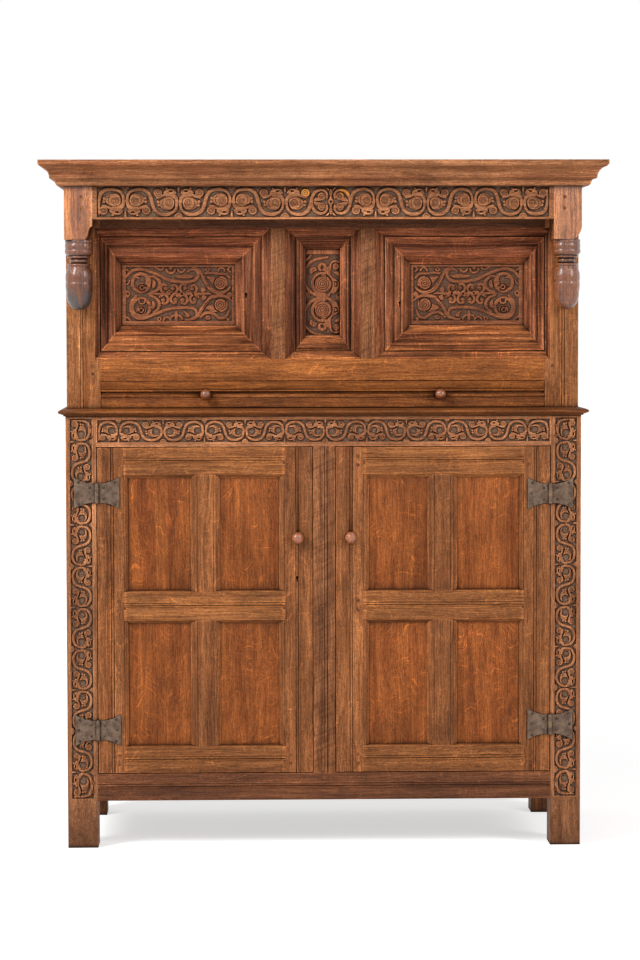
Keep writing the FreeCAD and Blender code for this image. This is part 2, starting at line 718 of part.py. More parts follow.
def side_frame(p, post_names, y0, y1, rails, muntin_width, prefix, passing=-1):
    """Right side's rails, muntins and panels; the rail numbered passing runs by its front post."""
    names, panels, pegs = [], [], []
    setback = side_outer
    x0, x1 = setback - tenon_setback - tenon_thickness, setback - tenon_setback
    for i, (z0, z1, under, over) in enumerate(rails):
        name = prefix + "rail_%d" % i
        foot = scaled(flipped(edge_shares), 0, under, panel_recess) if under else square(0)
        head = scaled(edge_shares, z1 - z0 - over, over, panel_recess) if over else \
            square(z1 - z0)
        flat = level(foot + head, side_rail_thickness, y0, y1, -setback, z0)
        p[name] = turned_to_side(flat)
        names.append(name)
        for post, shoulder, reach in ((post_names[0], y0, -1), (post_names[1], y1, 1)):
            if i == passing and reach < 0:
                continue
            ys = sorted((shoulder - reach * tenon_root, shoulder + reach * tenon_length))
            join(p, name, post, (x0, x1, ys[0], ys[1], z0 + under + tenon_inset,
                                 z1 - over - tenon_inset), "x")
            for z in peg_heights(z0 + under, min(z1 - over, cornice_base)):
                pegs.append(side_peg(p, [name, post], shoulder + reach * peg_shoulder, z))
    middle = (y0 + y1) / 2
    points = scaled(flipped(edge_shares), 0, side_edge, panel_recess) + scaled(
        edge_shares, muntin_width - side_edge, side_edge, panel_recess)
    for i in range(len(rails) - 1):
        low = rails[i][1] - rails[i][3]
        high = rails[i + 1][0] + rails[i + 1][2]
        name = prefix + "muntin_%d" % i
        p[name] = turned_to_side(upright(points, side_rail_thickness, middle - muntin_width / 2,
                                         -setback, low, high))
        for rail, z, reach in ((names[i], low, -1), (names[i + 1], high, 1)):
            zs = sorted((z - reach * tenon_root, z + reach * tenon_root))
            join(p, name, rail, (x0, x1, middle - muntin_width / 2 + side_edge + tenon_inset,
                                 middle + muntin_width / 2 - side_edge - tenon_inset, zs[0], zs[1]),
                 "x")
        z0, z1 = rails[i][1], rails[i + 1][0]
        for a, b in ((y0, middle - muntin_width / 2), (middle + muntin_width / 2, y1)):
            room = turned_to_side(box(a - groove_depth, b + groove_depth, groove_from - setback,
                                      groove_to - setback, z0 - groove_depth,
                                      z1 + groove_depth))
            for member in (post_names[0], post_names[1], names[i], names[i + 1], name):
                p[member] = p[member].cut(room)
            panels.append(turned_to_side(panel(a, b, z0, z1, groove_from - setback)))
    frame = names + [prefix + "muntin_%d" % i for i in range(len(rails) - 1)]
    return frame, panels, pegs


def lower_sides(p):
    """Panelled sides of the lower stage."""
    middle = lower_opening_base + side_middle_rail_place_share * (
        lower_opening_height - side_middle_rail_height)
    rails = [(foot_height, lower_opening_base, 0, 0),
             (middle, middle + side_middle_rail_height, side_edge, 0),
             (lower_opening_top - side_edge, lower_top, side_edge, 0)]
    frame, panels, pegs = side_frame(
        p, ("front_post_right", "lower_rear_post_right"), front + post_size, back - post_size, rails,
        side_muntin_width, "lower_side_")
    return frame, panels, pegs


def insides_lower():
    """Floor boards, shelf boards and the bearers under them."""
    rail_back = front + lower_rail_thickness
    floor_base = lower_opening_base - floor_thickness
    pitch = 2 * post_inner / back_board_count
    floor = []
    for i in range(back_board_count):
        x = -post_inner + i * pitch
        floor.append(box(x + board_gap / 2, x + pitch - board_gap / 2, rail_back,
                         back_plane, floor_base, lower_opening_base))
    floor += both([box(post_inner, side_inner, front + post_size, back - post_size, floor_base,
                       lower_opening_base)])
    shelf_front = front + door_thickness + bearer_width
    shelf_pitch = (back_rail_plane - shelf_front) / 2
    shelf = []
    for i in range(2):
        y = shelf_front + i * shelf_pitch
        shelf.append(box(-post_inner, post_inner, y + board_gap / 2,
                         y + shelf_pitch - board_gap / 2, shelf_top - shelf_thickness, shelf_top))
    bearers = [box(-post_inner, post_inner, rail_back, rail_back + bearer_width,
                   floor_base - bearer_height, floor_base)]
    bearers += both([box(side_inner - bearer_width, side_inner, front + post_size,
                         back - post_size, floor_base - bearer_height, floor_base)])
    shelf_base = shelf_top - shelf_thickness
    bearers += both([box(post_inner - bearer_width, post_inner, shelf_front, back_rail_plane,
                         shelf_base - bearer_height, shelf_base)])
    return floor, shelf, bearers


def back_frame(p, prefix, z_rails, board_base, board_top):
    """Back boards nailed over rails that are tenoned between the rear posts."""
    rails = []
    for i, (z0, z1) in enumerate(z_rails):
        name = prefix + "back_rail_%d" % i
        p[name] = box(-post_inner, post_inner, back_rail_plane, back_plane, z0, z1)
        for side, sign in (("right", 1), ("left", -1)):
            xs = sorted((sign * (post_inner - tenon_root), sign * (post_inner + tenon_length)))
            middle = (back_rail_plane + back_plane) / 2
            join(p, name, prefix + "rear_post_" + side, (xs[0], xs[1], middle - tenon_thickness / 2,
                                 middle + tenon_thickness / 2, z0 + tenon_inset,
                                 z1 - tenon_inset))
        rails.append(name)
    pitch = 2 * post_inner / back_board_count
    boards = []
    for i in range(back_board_count):
        x = -post_inner + i * pitch
        boards.append(box(x + board_gap / 2, x + pitch - board_gap / 2, back_plane, back,
                          board_base, board_top))
    return rails, boards


def middle_top():
    """Board between the two stages, thumb moulded on its front and ends."""
    reach = middle_top_overhang
    points = [(reach * u, middle_top_thickness * v, middle_top_thickness * rise)
              for u, v, rise in thumb_shares]
    edge = half_width
    profile = points[1:-1] + [(-case_depth, middle_top_thickness, 0), (-case_depth, 0, 0)]
    along = extruded(profile, Vector(-edge - reach, front, lower_top), Vector(0, -1, 0),
                     Vector(0, 0, 1), Vector(2 * (edge + reach), 0, 0))
    right = points[1:-1] + [(-case_width - reach, middle_top_thickness, 0),
                            (-case_width - reach, 0, 0)]
    ends = extruded(right, Vector(edge, front - reach, lower_top), Vector(1, 0, 0),
                    Vector(0, 0, 1), Vector(0, case_depth + reach, 0))
    return along.common(ends).common(mirrored(ends))


def upper_front_frame(p):
    """Stiles, rails and muntins of the recessed case front."""
    pegs = []
    stile = upright(square(0) + band(0, upper_stile_width) + square(upper_stile_width),
                    upper_stile_depth, upper_stile_inner, upper_front, upper_base, case_top)
    rebate = box(upper_stile_inner, upper_stile_inner + stile_strip_width,
                 upper_front - overrun, upper_front + strip_thickness, upper_middle_rail_top,
                 upper_rail_base)
    stile = stile.cut(rebate)
    notch = box(side_inner, half_width + overrun, upper_front - overrun,
                upper_front + upper_stile_depth + overrun, canopy_side_rail_base,
                case_top + overrun)
    stile = stile.cut(notch)
    p["upper_stile_right"] = stile
    p["upper_stile_left"] = mirrored(stile)
    rails = {"case_mid_rail": (drawer_opening_top, upper_opening_base, upper_middle_rail_top,
                               upper_opening_base),
             "case_top_rail": (upper_opening_top, case_top, upper_opening_top, upper_rail_base)}
    for name, (z0, z1, cut0, cut1) in rails.items():
        p[name] = box(-upper_stile_inner, upper_stile_inner, upper_front,
                      upper_front + upper_rail_thickness, z0, z1)
        p[name] = p[name].cut(box(-half_width, half_width, upper_front - overrun,
                                  upper_front + strip_thickness, cut0, cut1))
        for side, sign in (("right", 1), ("left", -1)):
            xs = sorted((sign * (upper_stile_inner - tenon_root),
                         sign * (upper_stile_inner + tenon_length)))
            y0 = upper_front + strip_thickness + tenon_inset
            join(p, name, "upper_stile_" + side,
                 (xs[0], xs[1], y0, y0 + tenon_thickness, z0 + tenon_inset, z1 - tenon_inset))
            if name == "case_top_rail":
                continue
            for z in peg_heights(z0, upper_middle_rail_top):
                pegs.append(peg(p, [name, "upper_stile_" + side],
                                sign * (upper_stile_inner + peg_shoulder + stile_strip_width / 2),
                                z, upper_front))
    for side, sign in (("right", 1), ("left", -1)):
        name = "upper_muntin_" + side
        x0, x1 = sorted((sign * centre_opening_half_width, sign * muntin_outer))
        muntin = box(x0, x1, upper_front, upper_front + upper_rail_thickness,
                     upper_opening_base, upper_opening_top)
        core0, core1 = x0 + muntin_strip_width, x1 - muntin_strip_width
        muntin = muntin.fuse(box(core0, core1, upper_front, upper_front + strip_thickness,
                                 upper_middle_rail_top, upper_rail_base))
        for a, b in ((x0 - overrun, core0), (core1, x1 + overrun)):
            muntin = muntin.cut(box(a, b, upper_front - overrun, upper_front + strip_thickness,
                                    upper_middle_rail_top, upper_rail_base))
        p[name] = muntin
        y0 = upper_front + strip_thickness + tenon_inset
        for rail, z, reach in (("case_mid_rail", upper_opening_base, -1),
                               ("case_top_rail", upper_opening_top, 1)):
            zs = sorted((z - reach * tenon_root, z + reach * tenon_length))
            join(p, name, rail, (x0 + tenon_inset, x1 - tenon_inset, y0, y0 + tenon_thickness,
                                 zs[0], zs[1]))
        keyhole_z = right_keyhole_height if side == "right" else left_keyhole_height
        socket = upper_bolt_socket(keyhole_z)
        socket = mirrored(socket) if side == "left" else socket
        p[name] = p[name].cut(socket)
    return pegs


def upper_bolt_socket(z):
    """Socket for the right upper door's bolt, in the muntin beside it."""
    return bolt_mortise(muntin_outer + upper_door_gap, z, upper_front + upper_door_back)


def upper_openings():
    """Mitred strips round the two door openings and the centre opening."""
    base, top = upper_middle_rail_top, upper_rail_base
    right = mitred_strips(muntin_outer - muntin_strip_width,
                          upper_stile_inner + stile_strip_width, base, top,
                          (muntin_strip_width, stile_strip_width, bottom_strip_width,
                           top_strip_width), upper_front, strip_shares, strip_relief,
                          strip_thickness)
    edge = centre_opening_half_width + muntin_strip_width
    centre = mitred_strips(-edge, edge, base, top,
                           (muntin_strip_width, muntin_strip_width, bottom_strip_width,
                            top_strip_width), upper_front, strip_shares, strip_relief,
                           strip_thickness)
    return both(right) + centre


def centre_panel_set():
    """Fixed panel between the doors and the mitred moulding planted round it."""
    edge = centre_opening_half_width
    moulding = mitred_strips(-edge, edge, upper_opening_base, upper_opening_top,
                             (centre_moulding_side, centre_moulding_side, centre_moulding_bottom,
                              centre_moulding_top), upper_front, centre_member_shares,
                             upper_door_relief, strip_thickness)
    board = box(-edge, edge, upper_front + strip_thickness,
                upper_front + strip_thickness + upper_panel_thickness, upper_opening_base,
                upper_opening_top)
    return board, moulding


def upper_door(keyhole_height):
    """Right upper door: four mitred members, a panel, and its lock."""
    lock_edge = muntin_outer + upper_door_gap
    hinge_edge = upper_stile_inner - upper_door_gap
    low, high = upper_opening_base + upper_door_gap, upper_opening_top - upper_door_gap
    members = mitred_strips(lock_edge, hinge_edge, low, high,
                            (upper_lock_member, upper_hinge_member, upper_bottom_member,
                             upper_top_member), upper_front, member_shares, upper_door_relief,
                            upper_door_back)
    x0, x1 = lock_edge + upper_lock_member, hinge_edge - upper_hinge_member
    z0, z1 = low + upper_bottom_member, high - upper_top_member
    seat = upper_front + upper_door_relief
    lap = upper_panel_lap
    rebate = box(x0 - lap, x1 + lap, seat, upper_front + upper_door_back + overrun, z0 - lap,
                 z1 + lap)
    board = box(x0 - lap + groove_slack, x1 + lap - groove_slack, seat,
                seat + upper_panel_thickness, z0 - lap + groove_slack, z1 + lap - groove_slack)
    key = keyhole(lock_edge + keyhole_inset, keyhole_height, upper_front, upper_door_back)
    x, y = upper_pivot()
    deep = pivot_engagement + mortise_spare
    holes = [Part.makeCylinder(pivot_radius + running_clearance, deep + overrun,
                               Vector(x, y, z)) for z in (low - overrun, high - deep)]
    members = [member.cut(rebate) for member in members]
    members = [member.cut(key) for member in members]
    for hole in holes:
        members = [member.cut(hole) for member in members]
    case, bolt = lock(lock_edge, keyhole_height, upper_front + upper_door_back, keyhole_inset)
    return {"frame": members, "panel": [board], "lock": [case], "bolt": [bolt]}


def upper_pivot():
    """The line that the right upper door turns about."""
    return upper_stile_inner - upper_door_gap - pivot_inset, upper_front + pivot_inset


def pivot_pins(strips):
    """Iron pivots of the upper doors, driven into the strips above and below them."""
    x, y = upper_pivot()
    length = pivot_seat + upper_door_gap + pivot_engagement
    pins = both([Part.makeCylinder(pivot_radius, length, Vector(x, y, z)) for z in
                 (upper_opening_base - pivot_seat, upper_opening_top + pivot_seat - length)])
    for pin in pins:
        strips = [strip.cut(pin) for strip in strips]
    return pins, strips


def canopy(p):
    """Frieze rail, pendants with their blocks, and side rails that carry them."""
    block = box(block_inner, half_width, front, upper_front, block_base, case_top)
    centre = Vector((block_inner + half_width) / 2, (front + upper_front) / 2, block_base)
    turning = revolved(pendant_shares, pendant_radius, pendant_length, centre, Vector(1, 0, 0),
                       Vector(0, 0, -1))
    whole = block.fuse(turning)
    p["pendant_right"] = whole.cut(block_notch(half_width, right_notch_shares))
    p["pendant_left"] = mirrored(whole).cut(block_notch(-block_inner, left_notch_shares))
    p["canopy_frieze"] = box(-block_inner, block_inner, front, front + canopy_frieze_thickness,
                             canopy_frieze_base, case_top)
    pegs = []
    for side, sign in (("right", 1), ("left", -1)):
        xs = sorted((sign * (block_inner - tenon_root), sign * (block_inner + tenon_length)))
        join(p, "canopy_frieze", "pendant_" + side,
             (xs[0], xs[1], front + tenon_setback, front + tenon_setback + tenon_thickness,
              canopy_frieze_base + tenon_inset, case_top - tenon_inset))
        for z in peg_heights(canopy_frieze_base, cornice_base):
            pegs.append(peg(p, ["canopy_frieze", "pendant_" + side],
                            sign * (block_inner + 2 * peg_shoulder), z, front))
    return pegs


def block_notch(edge, shares):
    """Wood lost from the lower right corner of a block whose right side is at x = edge."""
    points = [(block_notch_width * u, block_notch_height * v, block_notch_width * rise)
              for u, v, rise in shares]
    return extruded(points, Vector(edge, front - overrun, block_base), Vector(1, 0, 0),
                    Vector(0, 0, 1), Vector(0, canopy_reach + 2 * overrun, 0))


def upper_sides(p):
    """Panelled sides of the upper stage, with the top rails that run on to the pendants."""
    rear = box(post_inner, half_width, back - upper_stile_depth, back, upper_base, case_top)
    p["upper_rear_post_right"] = rear
    p["upper_rear_post_left"] = mirrored(rear)
    y0, y1 = upper_front + upper_stile_depth, back - upper_stile_depth
    rails = [(upper_base, side_low_rail_top, 0, 0),
             (canopy_side_rail_base - side_edge, case_top, side_edge, 0)]
    frame, panels, pegs = side_frame(
        p, ("upper_stile_right", "upper_rear_post_right"), y0, y1, rails,
        upper_side_muntin_width, "upper_side_", 1)
    top = "upper_side_rail_1"
    arm = box(side_inner, side_outer, upper_front, y0 + tenon_root, canopy_side_rail_base,
              case_top)
    spur = box(side_outer - tenon_setback - tenon_thickness, side_outer - tenon_setback,
               upper_front - tenon_length, upper_front + tenon_root,
               canopy_side_rail_base + tenon_inset, case_top - tenon_inset)
    mortise = box(side_outer - tenon_setback - tenon_thickness, side_outer - tenon_setback,
                  upper_front - tenon_length - mortise_spare, upper_front + tenon_root,
                  canopy_side_rail_base + tenon_inset - mortise_spare,
                  case_top - tenon_inset + mortise_spare)
    p[top] = p[top].fuse(arm).fuse(spur).removeSplitter()
    p["pendant_right"] = p["pendant_right"].cut(mortise)
    p["pendant_left"] = p["pendant_left"].cut(mirrored(mortise))
    return frame, panels, pegs


def upper_insides():
    """Upper floor, its bearers, the drawer runners and the top boards."""
    floor_front = upper_front + upper_rail_thickness
    floor = []
    pitch = 2 * upper_stile_inner / back_board_count
    for i in range(back_board_count):
        x = -upper_stile_inner + i * pitch
        floor.append(box(x + board_gap / 2, x + pitch - board_gap / 2, floor_front,
                         back_plane, side_low_rail_top, upper_floor_top))
    y0, y1 = upper_front + upper_stile_depth, back - upper_stile_depth
    bearers = both([box(upper_stile_inner - bearer_width, side_inner, y0, y1,
                        side_low_rail_top - bearer_height, side_low_rail_top)])
    z0 = upper_base + runner_place_share * drawer_opening_height - runner_height / 2
    tip = upper_stile_inner - drawer_gap - runner_depth + runner_clearance
    runners = both([box(tip, side_inner, y0, y1, z0, z0 + runner_height)])
    boards = []
    depth = back - front
    for i in range(top_board_count):
        y = front + i * depth / top_board_count
        boards.append(box(-half_width, half_width, y, y + depth / top_board_count - board_gap,
                          case_top, total_height))
    return floor, bearers, runners, boards


def drawer():
    """Frieze drawer: moulded front, two grooved sides, a back and a bottom."""
    x1 = upper_stile_inner - drawer_gap
    z0 = upper_base + drawer_gap
    z1 = drawer_opening_top - drawer_gap
    height = z1 - z0
    points = [(height * u, drawer_relief * v, drawer_relief * rise) for u, v, rise in
              drawer_shares]
    face = level(points, drawer_front_thickness, -x1, x1, upper_front, z0)
    inner_front = upper_front + drawer_front_thickness
    rear = back_rail_plane - drawer_back_clearance
    side_top = z0 + drawer_side_height
    side = box(x1 - drawer_side_thickness, x1, inner_front, rear, z0, side_top)
    runner_z = upper_base + runner_place_share * drawer_opening_height - runner_height / 2
    channel = box(x1 - runner_depth, x1 + overrun, inner_front, rear + overrun,
                  runner_z - runner_clearance, runner_z + runner_height + runner_clearance)
    side = side.cut(channel)
    inner = x1 - drawer_side_thickness
    bottom = box(-inner, inner, inner_front, rear, z0, z0 + drawer_bottom_thickness)
    back_piece = box(-inner, inner, rear - drawer_side_thickness, rear,
                     z0 + drawer_bottom_thickness, side_top)
    knobs = []
    for sign in (1, -1):
        head = knob(sign * drawer_knob_place_share * x1, z0 + height / 2, upper_front,
                    drawer_knob_radius, drawer_knob_reach)
        face = face.cut(head)
        knobs.append(head)
    return {"front": [face], "sides_and_back": both([side]) + [back_piece], "bottom": [bottom],
            "knobs": knobs}


def cornice():
    """Moulded cornice: one piece along the front and a mitred return on each side."""
    points = [(cornice_overhang * u, cornice_height * v, cornice_height * rise)
              for u, v, rise in cornice_shares]
    reach = cornice_overhang
    wide = half_width + reach
    run = extruded(points, Vector(-wide, front, cornice_base), Vector(0, -1, 0),
                   Vector(0, 0, 1), Vector(2 * wide, 0, 0))
    keep = Part.makePolygon([Vector(-wide, front - reach, cornice_base),
                             Vector(wide, front - reach, cornice_base),
                             Vector(half_width, front, cornice_base),
                             Vector(-half_width, front, cornice_base),
                             Vector(-wide, front - reach, cornice_base)])
    front_piece = run.common(Part.Face(keep).extrude(Vector(0, 0, cornice_height)))
    side_run = extruded(points, Vector(half_width, front - reach, cornice_base),
                        Vector(1, 0, 0), Vector(0, 0, 1), Vector(0, case_depth + reach, 0))
    keep = Part.makePolygon([Vector(half_width, front, cornice_base),
                             Vector(wide, front - reach, cornice_base),
                             Vector(wide, back, cornice_base),
                             Vector(half_width, back, cornice_base),
                             Vector(half_width, front, cornice_base)])
    return front_piece, side_run.common(Part.Face(keep).extrude(Vector(0, 0, cornice_height)))


def mirrored_door(door):
    """Left door made from the right one."""
    return {name: [mirrored(solid) for solid in solids] for name, solids in door.items()}


def hinge_sets(p):
    """Post leaves of the four butterfly hinges, with their nails and pins."""
    iron, pins = [], []
    for side, heights in (("right", right_hinge_heights), ("left", left_hinge_heights)):
        post = "front_post_" + side
        wood = {post: p[post] if side == "right" else mirrored(p[post])}
        leaves, nails = hinge_leaf_set(heights, 1, (0, 2), hinge_pin_radius, wood, post)
        rods = [hinge_pin(z) for z in heights]
        flip = (lambda shape: shape) if side == "right" else mirrored
        p[post] = flip(wood[post])
        iron += [flip(solid) for solid in leaves + nails]
        pins += [flip(solid) for solid in rods]
    return iron, pins


def lower_stage(p, nodes):
    """Everything fixed in the lower stage."""
    pegs = lower_front(p)
    frame, panels, side_pegs = lower_sides(p)
    rail_names, boards = back_frame(p, "lower_", [
        (foot_height, lower_opening_base - floor_thickness),
        (lower_top - back_rail_height, lower_top)], foot_height, lower_top)
    for post in ("front_post_", "lower_rear_post_"):
        p[post + "left"] = mirrored(p[post + "right"])
    iron, pins = hinge_sets(p)
    floor, shelf, bearers = insides_lower()
    nodes["front_post_left"] = [p["front_post_left"]]
    nodes["front_post_right"] = [p["front_post_right"]]
    nodes["lower_rear_posts"] = [p["lower_rear_post_right"], p["lower_rear_post_left"]]
    nodes["lower_frieze_rail"] = [p["frieze_rail"]]
    nodes["lower_bottom_rail"] = [p["bottom_rail"]]
    nodes["centre_muntin"] = [p["centre_muntin"]]
    nodes["lower_side_frames"] = both([p[name] for name in frame])
    nodes["lower_side_panels"] = both(panels)
    nodes["lower_back_boards"] = boards
    nodes["lower_floor_boards"] = floor
    nodes["shelf_boards"] = shelf
    nodes["middle_top"] = [middle_top()]
    nodes["post_hinge_leaves"] = iron
    nodes["hinge_pins"] = pins
    return [p[name] for name in rail_names], bearers, pegs + both(side_pegs)


def upper_stage(p, nodes):
    """Everything fixed in the upper stage."""
    pegs = upper_front_frame(p)
    pegs += canopy(p)
    frame, panels, side_pegs = upper_sides(p)
    rail_names, boards = back_frame(p, "upper_", [
        (side_low_rail_top - back_rail_height, side_low_rail_top),
        (case_top - back_rail_height, case_top)], upper_base, case_top)
    for post in ("upper_stile_", "upper_rear_post_"):
        p[post + "left"] = mirrored(p[post + "right"])
    pivots, strips = pivot_pins(upper_openings())
    board, moulding = centre_panel_set()
    floor, bearers, runners, top_boards = upper_insides()
    front_cornice, side_cornice = cornice()
    nodes["upper_stile_left"] = [p["upper_stile_left"]]
    nodes["upper_stile_right"] = [p["upper_stile_right"]]
    nodes["upper_rear_posts"] = [p["upper_rear_post_right"], p["upper_rear_post_left"]]
    nodes["pendant_left"] = [p["pendant_left"]]
    nodes["pendant_right"] = [p["pendant_right"]]
    nodes["canopy_frieze_rail"] = [p["canopy_frieze"]]
    nodes["case_top_rail"] = [p["case_top_rail"]]
    nodes["case_mid_rail"] = [p["case_mid_rail"]]
    nodes["upper_muntins"] = [p["upper_muntin_right"], p["upper_muntin_left"]]
    nodes["opening_mouldings"] = strips
    nodes["centre_panel"] = [board]
    nodes["centre_panel_moulding"] = moulding
    nodes["upper_side_frames"] = both([p[name] for name in frame])
    nodes["upper_side_panels"] = both(panels)
    nodes["upper_back_boards"] = boards
    nodes["upper_floor_boards"] = floor
    nodes["drawer_runners"] = runners
    nodes["top_boards"] = top_boards
    nodes["cornice_front"] = [front_cornice]
    nodes["cornice_returns"] = both([side_cornice])
    nodes["door_pivots"] = pivots
    return [p[name] for name in rail_names], bearers, pegs + both(side_pegs)


def build():
    """All nodes, as lists of solids by name."""
    nodes, p = {}, {}
    lower_rails, lower_bearers, lower_pegs = lower_stage(p, nodes)
    upper_rails, upper_bearers, upper_pegs = upper_stage(p, nodes)
    nodes["back_rails"] = lower_rails + upper_rails
    nodes["bearers"] = lower_bearers + upper_bearers
    nodes["joint_pegs"] = lower_pegs + upper_pegs
    doors = {"lower_right_door": lower_door(right_hinge_heights, False),
             "lower_left_door": mirrored_door(lower_door(left_hinge_heights, True)),
             "upper_right_door": upper_door(right_keyhole_height),
             "upper_left_door": mirrored_door(upper_door(left_keyhole_height)),
             "drawer": drawer()}
    for prefix, pieces in doors.items():
        for name, solids in pieces.items():
            nodes[prefix + "_" + name] = solids
    return nodes


os.makedirs("parts", exist_ok=True)
for node_name, solids in build().items():
    Part.makeCompound(solids).exportStep("parts/%s.step" % node_name)
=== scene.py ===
import json
import math

import bmesh
import bpy
import numpy as np
from mathutils import Matrix, Vector


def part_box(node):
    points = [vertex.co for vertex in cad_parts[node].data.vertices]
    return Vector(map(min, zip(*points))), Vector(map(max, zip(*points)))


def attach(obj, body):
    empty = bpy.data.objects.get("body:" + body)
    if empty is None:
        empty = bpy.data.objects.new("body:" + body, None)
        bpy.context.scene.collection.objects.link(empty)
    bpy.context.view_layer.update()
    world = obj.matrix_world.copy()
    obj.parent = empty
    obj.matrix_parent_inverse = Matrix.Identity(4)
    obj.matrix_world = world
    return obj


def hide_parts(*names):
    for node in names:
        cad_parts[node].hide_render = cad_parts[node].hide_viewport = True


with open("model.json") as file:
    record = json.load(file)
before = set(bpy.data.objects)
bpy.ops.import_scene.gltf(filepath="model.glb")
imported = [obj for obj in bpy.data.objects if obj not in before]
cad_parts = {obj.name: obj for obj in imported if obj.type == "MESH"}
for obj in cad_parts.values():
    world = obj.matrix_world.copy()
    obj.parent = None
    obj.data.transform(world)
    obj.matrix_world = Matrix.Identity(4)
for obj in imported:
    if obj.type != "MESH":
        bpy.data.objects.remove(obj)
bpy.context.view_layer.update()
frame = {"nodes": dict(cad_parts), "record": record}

# Dressed model of a joined oak court cupboard, in metres. The CAD nodes give every size and
# place; the wood gets softened edges and grain, and the friezes, posts and panels are carved.

RNG = np.random.default_rng(1682)
BODY_OF = {node: body for body, nodes in frame["record"]["behaviour"]["bodies"].items()
           for node in nodes}
MM = 0.001
SMALL_PIECE = 0.035
SMALL_PIECE_TONE = 0.35
UPPER_OPENINGS = (-0.358, 0.0, 0.358)
EASED_OAK = 0.0011
EASED_IRON = 0.0004
BOARD_WIDENING = 0.00045
ON_FACE = 2e-5
ON_BORDER = 3e-6
ONE_POINT = 4e-6


# Materials

class Shader:
    """Node tree of a new material or world, with short hand for its nodes."""

    def __init__(self, owner):
        owner.use_nodes = True
        self.owner, self.tree = owner, owner.node_tree
        self.tree.nodes.clear()

    def node(self, kind, inputs=None, **props):
        """New node; an input is linked if it is given a socket, and set otherwise."""
        n = self.tree.nodes.new("ShaderNode" + kind)
        for key, value in props.items():
            setattr(n, key, value)
        for key, value in (inputs or {}).items():
            if isinstance(value, bpy.types.NodeSocket):
                self.tree.links.new(value, n.inputs[key])
            else:
                n.inputs[key].default_value = value
        return n

    def layer(self, name, output="Fac"):
        """What the mesh carries under this name."""
        return self.node("Attribute", attribute_name=name).outputs[output]

    def ramp(self, factor, *stops):
        """Colour ramp with the given (position, grey or colour) stops."""
        n = self.node("ValToRGB", {0: factor})
        while len(n.color_ramp.elements) < len(stops):
            n.color_ramp.elements.new(0.5)
        for element, (place, value) in zip(n.color_ramp.elements, stops):
            element.position = place
            element.color = (*value, 1.0) if isinstance(value, tuple) else (*[value] * 3, 1.0)
        return n.outputs[0]

    def mix(self, factor, a, b, mode="MIX"):
        """Mix of two colours."""
        return self.node("Mix", {0: factor, 6: a, 7: b}, data_type="RGBA",
                         blend_type=mode).outputs[2]

    def tint(self, colour, by, share=1.0):
        """Colour multiplied by another, on a share of the surface."""
        tinted = self.mix(1.0, colour, by, "MULTIPLY")
        return tinted if share == 1.0 else self.mix(share, colour, tinted)

    def maths(self, operation, a, b=0.0, clamp=False):
        """One arithmetic step."""
        return self.node("Math", {0: a, 1: b}, operation=operation,
                         use_clamp=clamp).outputs[0]

    def times(self, a, b, clamp=False):
        return self.maths("MULTIPLY", a, b, clamp)

    def plus(self, a, b, clamp=False):
        return self.maths("ADD", a, b, clamp)

    def minus(self, a, b, clamp=False):
        return self.maths("SUBTRACT", a, b, clamp)

    def moved(self, vector, **by):
        """Vector with values added on the named axes."""
        step = self.node("CombineXYZ", by).outputs[0]
        return self.node("VectorMath", {0: vector, 1: step},
                         operation="ADD").outputs[0]

    def stretched(self, coords, along, across, detail=2.0, rough=0.55, shift=(0.0, 0.0, 0.0)):
        """Noise drawn out along the grain, with its scales per metre along and across."""
        m = self.node("Mapping", {0: coords, "Scale": (along, across, across),
                                            "Location": shift})
        return self.node("TexNoise", {"Vector": m.outputs[0], "Scale": 1.0,
                                                "Detail": detail, "Roughness": rough}).outputs[0]

    def openness(self, distance, samples, **props):
        """1 where nothing is near, down to 0 in the tightest corner."""
        return self.node("AmbientOcclusion", {"Distance": distance}, samples=samples,
                         **props).outputs["AO"]

    def looked_at(self):
        """1 where the stage itself is seen: by the camera, in a reflection or through glass."""
        path = self.node("LightPath").outputs
        beyond = self.maths("MAXIMUM", path["Is Glossy Ray"], path["Is Transmission Ray"])
        return self.maths("MAXIMUM", path["Is Camera Ray"], beyond)

    def surface(self, height, strength, distance, **inputs):
        """End the material with a bumped surface; names have _ for spaces."""
        bump = self.node("Bump", {"Strength": strength, "Distance": distance,
                                            "Height": height})
        named = {key.replace("_", " "): value for key, value in inputs.items()}
        b = self.node("BsdfPrincipled", {"Normal": bump.outputs[0], **named})
        self.node("OutputMaterial", {"Surface": b.outputs[0]})
        return self.owner


def rgba(r, g, b):
    """Linear colour from display values of 0 to 255."""
    return tuple((v / 255.0 / 12.92) if v <= 10 else ((v / 255.0 + 0.055) / 1.055) ** 2.4
                 for v in (r, g, b)) + (1.0,)


